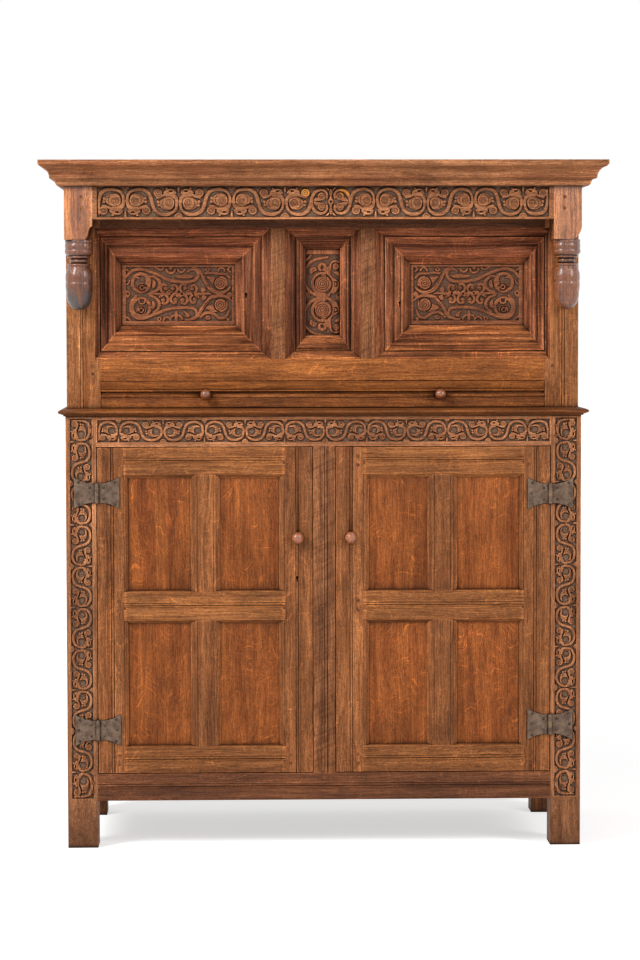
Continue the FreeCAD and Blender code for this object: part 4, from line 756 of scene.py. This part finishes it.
def door_panel_design(c, side):
    """Carving of an upper door's panel, drawn for the left door and mirrored for the right."""
    c.at(0, 0, side, 1)
    # Two volutes at the lock side, each in a band that crosses the panel
    for v, turn in ((26.4, 1), (-27.0, -1)):
        c.disc(103.5, v, 18.6)
        c.channel(arc(103.5, v, 16.4, turn * 100, turn * 330, 0.7))
        c.spiral(103.5, v, 13.0, 2.0, turn * 2.2, 0.6, 1.0)
    c.leaf([(68, 43), (80, 43), (92, 40), (90, 27), (82, 26), (76, 34)])
    c.leaf([(66, -34), (78, -43), (90, -46), (98, -40), (88, -27), (78, -27)])
    c.stroke([(35, 64.6, 3.8), (49.5, 60, 4.4), (58.6, 46, 4.6), (67.7, 27.5, 4.6),
              (78.6, 12.7, 4.8), (93, 4.5, 4.8), (108, 3.6, 4.6), (120, 9, 4), (127, 17, 3)])
    c.groove([(56, 56, 0.5), (64.5, 38, 0.9), (73, 22, 0.9), (84, 9, 0.9), (98, 3.5, 0.5)])
    c.stroke([(130, -16, 2.6), (120, -8, 3.8), (106, -4.2, 4.6), (93, -5, 4.8), (80, -8.5, 4.8),
              (69.5, -19, 4.6), (57, -36, 4.6), (46, -54.6, 4.6), (31, -62, 4), (17, -64, 3)])
    c.groove([(50, -52, 0.5), (60, -35, 0.9), (71, -20, 0.9), (84, -10, 0.5)])
    c.stroke([(66, 51, 3.4), (82, 52, 3.8), (100, 50, 3.8), (117, 49, 3.8), (127, 40, 3.2)])
    c.disc(71.5, 60.5, 6.4)
    c.hole(71.5, 61, 2.0)
    c.stroke(arc(106, 57, 8.0, 180, 0, 2.8))
    c.stroke([(128, 55, 2.4), (122, 61, 3.0), (127, 67, 2.4)])
    c.stroke([(53, -58, 3.6), (62, -49, 4.2), (75, -46, 4.2), (90, -51, 4), (102, -60, 4),
              (116, -57, 4), (124, -43, 3.2)])
    c.disc(72, -58.5, 6.6)
    c.spiral(72, -58.5, 4.0, 1.0, 1.2, 0.6, 0.8)
    c.disc(122, -63, 5)
    c.leaf([(126, -10), (134, 0), (126, 6), (118, -1)])
    # Long bands along the top and the bottom, hooked at the lock side
    c.stroke([(-133, 40, 3.4), (-121, 54, 4.2), (-105, 61.5, 4.6), (-83, 60, 4.6),
              (-65, 53, 4.4), (-45, 44.5, 4.4), (-31, 37.5, 4.4), (-9, 31.5, 4.4), (13, 29.5, 4.4),
              (31, 31, 4.4), (43, 37, 4.4), (48.5, 47.5, 4.4), (44, 58, 4), (33, 61, 3.4),
              (23, 56.5, 2.8)])
    c.leaf([(-10, 46), (8, 48), (28, 48), (37, 44), (31, 39), (10, 38.5), (-6, 40.5)])
    c.groove([(0, 43.5, 0.5), (14, 44, 0.9), (30, 43.6, 0.5)])
    c.stroke([(42, -56, 2.6), (44, -45, 3.6), (36, -36, 4.2), (17, -33.5, 4.4), (-9, -34.5, 4.4),
              (-31, -38.5, 4.4), (-49, -45, 4.4), (-71, -54, 4.4), (-87, -60, 4.6),
              (-102, -60, 4.6), (-114, -52, 4.6), (-120, -36, 4.6), (-117, -19, 4.4),
              (-107, -5.5, 4)])
    # Two scrolls at the hinge side, with their eyes and crescents
    c.stroke(arc(-94, 28, 22.0, 0, 340, 4.4))
    c.disc(-91.5, 16.5, 11.6)
    c.channel(arc(-91.5, 16.5, 8.2, 20, 330, 1.0))
    c.hole(-91.5, 16.5, 3.6)
    c.leaf([(-86, 46), (-78, 46), (-72, 36), (-71, 24), (-76, 18), (-84, 26), (-82, 36)])
    c.stroke(arc(-104, 32, 9.0, 60, 200, 2.6))
    c.stroke([(-72, 43, 3), (-61.5, 43, 3.8), (-50, 34, 4.4), (-47, 21, 4.4), (-55, 9.5, 4),
              (-70, 4, 3.2)])
    c.leaf([(-65, 34), (-58, 32), (-57, 22), (-62, 14), (-68, 16), (-66, 26)])
    c.stroke(arc(-94, -33, 22.0, 20, 360, 4.4))
    c.disc(-92, -17, 9.6)
    c.hole(-92, -17, 5.2)
    c.disc(-92, -17, 2.6)
    c.disc(-94, -40, 12.4)
    c.channel(arc(-94, -40, 8.4, -160, 130, 1.0))
    c.hole(-94, -40, 3.8)
    c.stroke([(-72, -4, 3), (-58, -9.5, 4), (-49, -22, 4.4), (-52, -36, 4.2), (-63, -45, 3)])
    c.leaf([(-66, -16), (-60, -20), (-58, -30), (-64, -38), (-70, -34), (-68, -24)])
    # Stem through the middle with hooked leaves over and under it
    c.stroke([(-76, 0, 2.6), (-58, 1, 3.4), (-38, -1, 4), (-16, 1, 4), (8, -1, 4), (30, 1, 4),
              (52, 0, 4), (66, 1, 3.4), (80, 0, 2)])
    for i, (u, size) in enumerate(((-36, 1.0), (-12, 0.94), (12, 1.02), (36, 0.92))):
        for up in (1, -1):
            f = 1 if (i % 2 == 0) == (up > 0) else -1
            rows = ((0, 0, 3.4), (-7.5, 8, 3.8), (-8.5, 17, 4.0), (-2.5, 23.6, 4.0), (5, 22, 3.4))
            c.stroke([(u + f * a * size, up * b * size, w) for a, b, w in rows])
            c.disc(u + f * 3.2, up * 14.6 * size, 5.6)
            c.groove(arc(u + f * 3.2, up * 14.6 * size, 2.9, -120, 170, 0.7))
            c.leaf([(u + f * 2, up * 3), (u + f * 8, up * 9), (u + f * 14, up * 10.5),
                    (u + f * 14.5, up * 5), (u + f * 9, up * 2.5)])
            c.hole(u + f * 10.4, up * 6.6, 1.1)
    c.leaf([(58, 2), (54, 9), (57, 17), (64, 15), (67, 8)])
    c.leaf([(60, -2), (56, -10), (60, -17), (67, -13), (69, -6)])
    for u, v in ((-19, 1.5), (7.6, 0), (36, 0.5)):
        c.hole(u, v, 2.4)
    # Half rings and a small flower at the edges
    c.stroke(arc(-20, 63, 11.0, 190, 350, 3.2))
    c.disc(-20, 64, 4.6)
    c.stroke(arc(6, 63, 8.6, 190, 350, 3.0))
    c.stroke([(-58, 66, 2.4), (-46, 60, 3.4), (-38, 64, 3.0)])
    c.leaf([(-12, -52), (-10, -44), (-7, -40), (-4, -44), (-2, -52), (-4, -66), (-10, -66)])
    c.stroke(arc(-4, -65, 12.0, 10, 70, 2.8))
    c.stroke(arc(-10, -65, 12.0, 110, 170, 2.8))
    c.stroke(arc(-30, -67, 9.0, 170, 10, 2.8))
    c.disc(-49, -62, 6.4)
    c.hole(-49, -62, 2.2)
    c.disc(21, -53, 6.0)
    c.stroke([(21, -50, 3), (14, -44, 2.6)])
    c.stroke([(-133, 64, 3), (-126, 58, 2.6)])
    c.leaf([(-134, 8), (-126, 10), (-120, 2), (-125, -8), (-134, -8)])
    c.hole(-127, 1, 2.2)
    c.stroke([(-134, -56, 3), (-126, -60, 3), (-120, -66, 2.4)])
    c.stroke([(-133, 24, 2), (-126, 26, 2.6), (-122, 34, 2)])
    c.at(0, 0)


def centre_panel_design(c):
    """Carving of the fixed panel between the upper doors: two large volutes in leafy bands."""
    for up in (1, -1):
        c.at(0, -5.6, 1, up)
        c.disc(0.7, 33, 22.0)
        c.stroke(arc(0.7, 33, 26.0, 84, 280, 4.4))
        c.channel(arc(0.7, 33, 21.6, 104, 186, 1.5))
        c.channel(arc(0.7, 33, 21.6, 20, 66, 1.0))
        c.spiral(0.7, 33, 18.0, 2.0, 3.2, 1.0, 1.0)
        c.stroke([(-46, 34, 3.6), (-41, 24, 4.2), (-31, 13, 4.4), (-16, 5, 4.4), (-2, 2.6, 4.4),
                  (12, 3.5, 4.2), (24, 10, 4)])
        c.leaf([(9, 72), (15, 78), (19, 66), (21, 54), (28, 47), (36, 42), (42, 33), (41, 22),
                (35, 13), (26, 8), (17, 7), (22, 20), (24, 33), (20, 46), (10, 57)])
        c.channel(arc(31, 32, 5.6, -100, 110, 1.1))
        c.hole(30, 32, 1.8)
        c.disc(33, 76, 8.6)
        c.spiral(33, 76, 6.0, 1.4, 1.5, 2.0, 0.9)
        c.channel(arc(33, 76, 9.8, 110, 260, 1.1))
        c.stroke([(17, 62, 3), (18.5, 74, 3.8), (24, 84.5, 4), (33, 88.5, 3.6), (43, 86, 3)])
        c.stroke(arc(-1, 74, 7.6, -60, 240, 4.0))
        c.hole(-2, 72.5, 3.6)
        c.stroke([(8, 58, 3), (8, 68, 3)])
        c.stroke([(-45, 72, 3), (-38, 79, 3.8), (-30, 86.5, 4), (-16, 93.5, 4), (0.7, 96.5, 3.8),
                  (12, 99, 3.2)])
        c.stroke([(-43, 92, 3.2), (-36, 96, 3.4), (-30, 103, 3)])
        c.leaf([(-34, 66), (-26, 74), (-18, 74), (-14, 66), (-22, 62), (-30, 56)])
        c.groove([(-30, 62, 0.5), (-24, 67, 0.9), (-18, 69, 0.5)])
        c.leaf([(28, 61), (36, 64), (43, 60), (43, 52), (36, 54)])
        c.disc(41.5, 2, 7.6)
    c.disc(-41, -5.6, 8.6)
    c.groove(arc(-41, -5.6, 5.4, -80, 80, 0.9))
    c.hole(22, -5.0, 4.2)
    c.hole(39.5, -5.0, 2.6)
    c.at(0, 0)


PEGS = []
peg_mesh = frame["nodes"]["joint_pegs"].data
for members in solids(peg_mesh):
    spots = np.array([peg_mesh.vertices[i].co[:] for f in members
                      for i in peg_mesh.polygons[f].vertices])
    spread = spots.max(0) - spots.min(0)
    if spread[1] > max(spread[0], spread[2]):
        PEGS.append(((spots.max(0) + spots.min(0)) / 2, max(spread[0], spread[2]) / 2))


def split_at(bm, edges, axis, places):
    """Split straight edges wherever the given coordinates fall inside them."""
    for e in edges:
        a, b = e.verts
        if a.co[axis] > b.co[axis]:
            a, b = b, a
        inside = sorted(p for p in places
                        if a.co[axis] + ONE_POINT / 2 < p < b.co[axis] - ONE_POINT / 2)
        for p in inside:
            share = (p - a.co[axis]) / (b.co[axis] - a.co[axis])
            e, new = bmesh.utils.edge_split(e, a, share)
            new.co[axis] = p
            a = new
            e = next(k for k in a.link_edges if b in k.verts)


def carved(node, rect, carving, material, angle=50.0, tone=0.5):
    """Piece for a CAD node whose front face carries carving inside a rectangle."""
    bm = welded(node, EASED_OAK, tone=tone)
    x0, x1, z0, z1 = rect
    borders = ((0, x0), (0, x1), (2, z0), (2, z1))
    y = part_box(node)[0][1]

    def flat(f):
        return f.normal.y < -0.999 and abs(f.verts[0].co.y - y) < ON_FACE

    for axis, place in borders:
        co, no = Vector((0, 0, 0)), Vector((0, 0, 0))
        co[axis], no[axis] = place, 1.0
        faces = [f for f in bm.faces if flat(f)]
        geom = each_once(v for f in faces for v in f.verts)
        geom += each_once(e for f in faces for e in f.edges)
        bmesh.ops.bisect_plane(bm, geom=geom + faces, dist=1e-6, plane_co=co, plane_no=no)
    doomed = [f for f in bm.faces if flat(f) and x0 < f.calc_center_median().x < x1
              and z0 < f.calc_center_median().z < z1]
    for centre, r in PEGS:
        if x0 < centre[0] < x1 and z0 < centre[2] < z1:
            doomed += [f for f in bm.faces if all(
                math.hypot(v.co.x - centre[0], v.co.z - centre[2]) < r + 2e-4 for v in f.verts)]
    bmesh.ops.delete(bm, geom=each_once(doomed), context="FACES")

    def side_of(e):
        if len(e.link_faces) != 1 or any(abs(v.co.y - y) > ON_FACE for v in e.verts):
            return None
        for axis, place in borders:
            if all(abs(v.co[axis] - place) < ON_BORDER for v in e.verts):
                return axis, place
        return None

    others = [e for e in bm.edges if len(e.link_faces) == 1 and side_of(e) is None]
    if others:
        bmesh.ops.holes_fill(bm, edges=others, sides=0)

    for name, value in (("relief", 1.0), ("groove", 0.0), ("gold", 0.0)):
        layer = bm.verts.layers.float.new(name)
        for v in bm.verts:
            v[layer] = value
    relief, groove, gold = (bm.verts.layers.float[k] for k in ("relief", "groove", "gold"))
    grain, tones = bm.verts.layers.float_vector["grain"], bm.verts.layers.float["tone"]
    first = next(iter(bm.verts))
    hues = bm.verts.layers.float["hue"]
    order = [0, 2, 1] if x1 - x0 > z1 - z0 else [2, 0, 1]
    shift = [first[grain][i] - first.co[order[i]] for i in range(3)]

    depth, high, line = carving.surface()
    depth[:2], depth[-2:], depth[:, :2], depth[:, -2:] = 0, 0, 0, 0
    xs, zs = np.linspace(x0, x1, carving.nx), np.linspace(z0, z1, carving.nz)
    rows = []
    for j, z in enumerate(zs):
        row = []
        for i, x in enumerate(xs):
            v = bm.verts.new((x, y + depth[j, i] * MM, z))
            v[relief], v[groove], v[gold] = high[j, i], line[j, i], carving.gold[j, i]
            v[grain] = Vector([v.co[order[k]] + shift[k] for k in range(3)])
            v[tones], v[hues] = tone * near_floor(z), 0.5
            row.append(v)
        rows.append(row)
    for low, up in zip(rows, rows[1:]):
        for i in range(len(low) - 1):
            bm.faces.new((low[i], low[i + 1], up[i + 1], up[i]))
    for axis, place in borders:
        along = 2 if axis == 0 else 0
        edges = [e for e in bm.edges if side_of(e) == (axis, place)]
        grid = {0: {x0: [r[0] for r in rows], x1: [r[-1] for r in rows]},
                2: {z0: rows[0], z1: rows[-1]}}[axis][place]
        mine = {id(v) for v in grid}
        own = [e for e in edges if all(id(v) in mine for v in e.verts)]
        outer = [e for e in edges if not all(id(v) in mine for v in e.verts)]
        outer_places = {round(v.co[along], 7) for e in outer for v in e.verts}
        split_at(bm, outer, along, [v.co[along] for v in grid])
        spots = [v.co[along] for v in grid]
        extra = [p for p in outer_places if min(abs(p - s) for s in spots) > ONE_POINT]
        split_at(bm, own, along, extra)
    rim = each_once(v for e in bm.edges if side_of(e) for v in e.verts)
    bmesh.ops.remove_doubles(bm, verts=rim, dist=ONE_POINT)
    finished(node, bm, material, angle)


FRIEZE_STEP = 1.0
TOP_FRIEZE_DEPTH = 4.4
LOWER_DEPTH = 4.0
POST_PAIR_LENGTH = 102.6
PANEL_STEP = 0.9
PANEL_DEPTH = 3.4
PANEL_MARGIN = 4.0


def top_frieze():
    """Carving of the frieze rail under the cornice."""
    rect = (-0.566, 0.566, 1.5590, 1.6400)
    c = Carving(rect, FRIEZE_STEP, TOP_FRIEZE_DEPTH, 1599.85)
    scroll_run(c, [(-486.7, 1), (-356.3, -1), (-225.7, 1), (-95.0, -1)], -555.5, -30.0,
               SCROLL_HEIGHT, "spiral", ends=(True, False))
    scroll_run(c, [(128.5, 1), (253.2, -1), (370.3, 1), (492.1, -1)], 66.0, 555.5,
               SCROLL_HEIGHT, "spiral", ends=(False, True))
    middle_ornament(c, 18.0, 48.0)
    c.gild(-45.0, 27.0, 13.0)
    c.gild(54.0, 27.0, 14.0)
    c.border(1111.0, 74.0)
    carved("canopy_frieze_rail", rect, c, CARVED_OAK)


def lower_frieze():
    """Carving of the frieze rail over the lower doors."""
    rect = (-0.5605, 0.5605, 1.0060, 1.0670)
    c = Carving(rect, FRIEZE_STEP, LOWER_DEPTH, 1036.0)
    places = (-506.6, -396.7, -294.9, -194.5, -97.2, 3.5, 106.2, 204.0, 304.5, 406.5, 503.7)
    scroll_run(c, [(p, 1 - 2 * (i % 2)) for i, p in enumerate(places)], -558.0, 558.0, 26.5,
               "round")
    c.border(1116.0, 53.0)
    carved("lower_frieze_rail", rect, c, CARVED_OAK, tone=0.62)


def post_carving(node, side, first):
    """Carving up the front of a lower post, with its first pair's place above the floor."""
    x0, x1, z0, z1 = (0.566, 0.634, 0.1200, 1.0700)
    rect = (x0, x1, z0, z1) if side > 0 else (-x1, -x0, z0, z1)
    c = Carving(rect, FRIEZE_STEP, LOWER_DEPTH)
    mid = (z0 + z1) / 2 / MM
    places = [first - POST_PAIR_LENGTH * i - mid for i in range(9)]
    pairs = [(p, side * (1 - 2 * (i % 2)) * -1) for i, p in enumerate(places)][::-1]
    scroll_run(c, pairs, 124.0 - mid, 1066.0 - mid, 26.0, "round", turned=True)
    c.border(52.0, 942.0)
    carved(node, rect, c, CARVED_OAK)


def panel_carving(node, width, height, x, z, design, tone=0.48):
    """Carving in the middle of a panel board."""
    across, up = (width / 2 + PANEL_MARGIN) * MM, (height / 2 + PANEL_MARGIN) * MM
    rect = (x - across, x + across, z - up, z + up)
    c = Carving(rect, PANEL_STEP, PANEL_DEPTH)
    design(c)
    c.border(width, height)
    carved(node, rect, c, CARVED_PANEL, tone=tone)


top_frieze()
lower_frieze()
for side, node in ((-1, "upper_left_door_panel"), (1, "upper_right_door_panel")):
    panel_carving(node, 262.0, 132.4, side * 0.358, 1.3739,
                  lambda c, side=side: door_panel_design(c, -side))
panel_carving("centre_panel", 88.0, 199.6, 0.0, 1.3718, centre_panel_design, 0.74)
post_carving("front_post_left", -1, 1010.0)
post_carving("front_post_right", 1, 1010.0)

FINISHES = (
    (FRAME_OAK, "oak", even, "upper_stile_left upper_stile_right lower_side_frames "
     "upper_side_frames lower_rear_posts upper_rear_posts"),
    (FRAME_OAK, "oak", 0.15, "joint_pegs"),
    (TOP_OAK, "oak", 0.5, "middle_top"),
    (DRAWER_OAK, "oak", 0.42, "drawer_front"),
    (RIPPLE_OAK, "oak", duller, "centre_muntin upper_muntins"),
    (GOLD_OAK, "oak", 0.44, "case_mid_rail"),
    (DARK_OAK, "oak", 0.57, "lower_bottom_rail case_top_rail"),
    (CORNICE_OAK, "oak", 0.52, "cornice_front cornice_returns"),
    (PANEL_OAK, "oak_panel", even, "lower_left_door_panels lower_right_door_panels "
     "lower_side_panels upper_side_panels"),
    (INNER_OAK, "oak_inside", None, "back_rails bearers drawer_runners lower_back_boards "
     "lower_floor_boards upper_back_boards upper_floor_boards shelf_boards top_boards "
     "drawer_sides_and_back drawer_bottom"),
)
for material, slot, tone, names in FINISHES:
    for name in names.split():
        dress(name, material, tone=tone)
# Painted light: on these frames and mouldings each member's tone and hue follow the side of its
# opening.
for name in ("upper_left_door_frame", "upper_right_door_frame", "opening_mouldings",
             "centre_panel_moulding"):
    dress(name, RED_OAK, tone=painted_light_by_side(name))
for name in ("lower_left_door_frame", "lower_right_door_frame"):
    dress(name, DOOR_OAK, tone=by_direction)
dress("pendant_left", TURNED_DARK, 0.0, 2, 0.5, 40.0)
dress("pendant_right", TURNED_OAK, 0.0, 2, 0.5, 40.0)
for name, tone in (("lower_left_door_knob", 0.8), ("lower_right_door_knob", 0.6),
                   ("drawer_knobs", 0.4)):
    dress(name, KNOB_OAK, 0.0, 1, tone, 40.0)
for name in ("post_hinge_leaves", "lower_left_door_hinge_leaves", "lower_right_door_hinge_leaves",
             "hinge_pins", "door_pivots", "lower_left_door_lock", "upper_left_door_lock",
             "upper_right_door_lock", "lower_left_door_bolt", "upper_left_door_bolt",
             "upper_right_door_bolt"):
    dress(name, IRON, EASED_IRON, angle=35.0)


# Stage

LAMP_TARGET = Vector((0.0, -0.2, 0.9))
FLOOR_SIZE = 30.0
FLOOR_NEAR, FLOOR_FADE = 1.4, 0.2
FLOOR_LIFT, FLOOR_FAR_LIFT = 0.585, 0.3
WORLD_LIGHT, WORLD_SEEN = 0.38, 0.625


def camera_at(place, yaw, pitch, roll, lens):
    """Camera looking along +Y, turned by yaw to the right, by pitch up and by roll."""
    data = bpy.data.cameras.new("photo_camera")
    data.sensor_fit = "VERTICAL"
    data.sensor_height = 36.0
    data.lens = lens
    data.clip_end = 100.0
    forward = Vector((math.sin(yaw) * math.cos(pitch), math.cos(yaw) * math.cos(pitch),
                      math.sin(pitch)))
    level = Vector((math.cos(yaw), -math.sin(yaw), 0.0))
    up = level.cross(forward)
    right = math.cos(roll) * level + math.sin(roll) * up
    up = -math.sin(roll) * level + math.cos(roll) * up
    turn = Matrix((right, up, -forward)).transposed()
    camera = bpy.data.objects.new("photo_camera", data)
    camera.matrix_world = Matrix.Translation(place) @ turn.to_4x4()
    bpy.context.scene.collection.objects.link(camera)
    bpy.context.scene.camera = camera


def softbox(name, place, size, power):
    """Large soft lamp aimed at the cupboard."""
    data = bpy.data.lights.new(name, "AREA")
    data.shape = "RECTANGLE"
    data.size, data.size_y = size
    data.energy = power
    lamp = bpy.data.objects.new(name, data)
    aim = LAMP_TARGET - Vector(place)
    lamp.matrix_world = (Matrix.Translation(place) @
                         aim.to_track_quat("-Z", "Y").to_matrix().to_4x4())
    bpy.context.scene.collection.objects.link(lamp)


def pale_floor():
    """Wide pale floor that keeps the shadow."""
    s = Shader(bpy.data.materials.new("pale_floor"))
    plain = s.node("BsdfDiffuse", {"Color": (0.80, 0.80, 0.80, 1.0)})
    away = s.node("VectorMath", {0: s.node("TexCoord").outputs["Object"]},
                  operation="LENGTH").outputs["Value"]
    far = s.times(s.minus(away, FLOOR_NEAR), FLOOR_FADE, True)
    level = s.plus(FLOOR_LIFT, s.times(far, FLOOR_FAR_LIFT))
    lift = s.node("Emission", {"Color": (1.0, 1.0, 1.0, 1.0),
                                         "Strength": s.times(s.looked_at(), level)})
    both = s.node("AddShader", {0: plain.outputs[0], 1: lift.outputs[0]})
    s.node("OutputMaterial", {"Surface": both.outputs[0]})
    bm = bmesh.new()
    bmesh.ops.create_grid(bm, x_segments=1, y_segments=1, size=FLOOR_SIZE)
    mesh = bpy.data.meshes.new("floor")
    bm.to_mesh(mesh)
    bm.free()
    mesh.materials.append(s.owner)
    floor = bpy.data.objects.new("floor", mesh)
    bpy.context.scene.collection.objects.link(floor)


def studio_world():
    """White all round for what looks straight at it, softer as a light."""
    s = Shader(bpy.data.worlds.new("studio"))
    strength = s.plus(WORLD_LIGHT, s.times(s.looked_at(), WORLD_SEEN))
    back = s.node("Background", {"Color": (1.0, 1.0, 1.0, 1.0), "Strength": strength})
    s.node("OutputWorld", {"Surface": back.outputs[0]})
    bpy.context.scene.world = s.owner


camera_at((-0.20708, -7.38055, 1.32938), yaw=0.0276, pitch=-0.0581, roll=-0.0019, lens=108.47)
softbox("lamp_left", (-3.2, -2.8, 3.6), (1.3, 2.4), 220.0)
softbox("lamp_right", (3.5, -3.1, 2.9), (1.1, 2.2), 104.0)
pale_floor()
studio_world()
bpy.context.scene.view_settings.view_transform = "Standard"
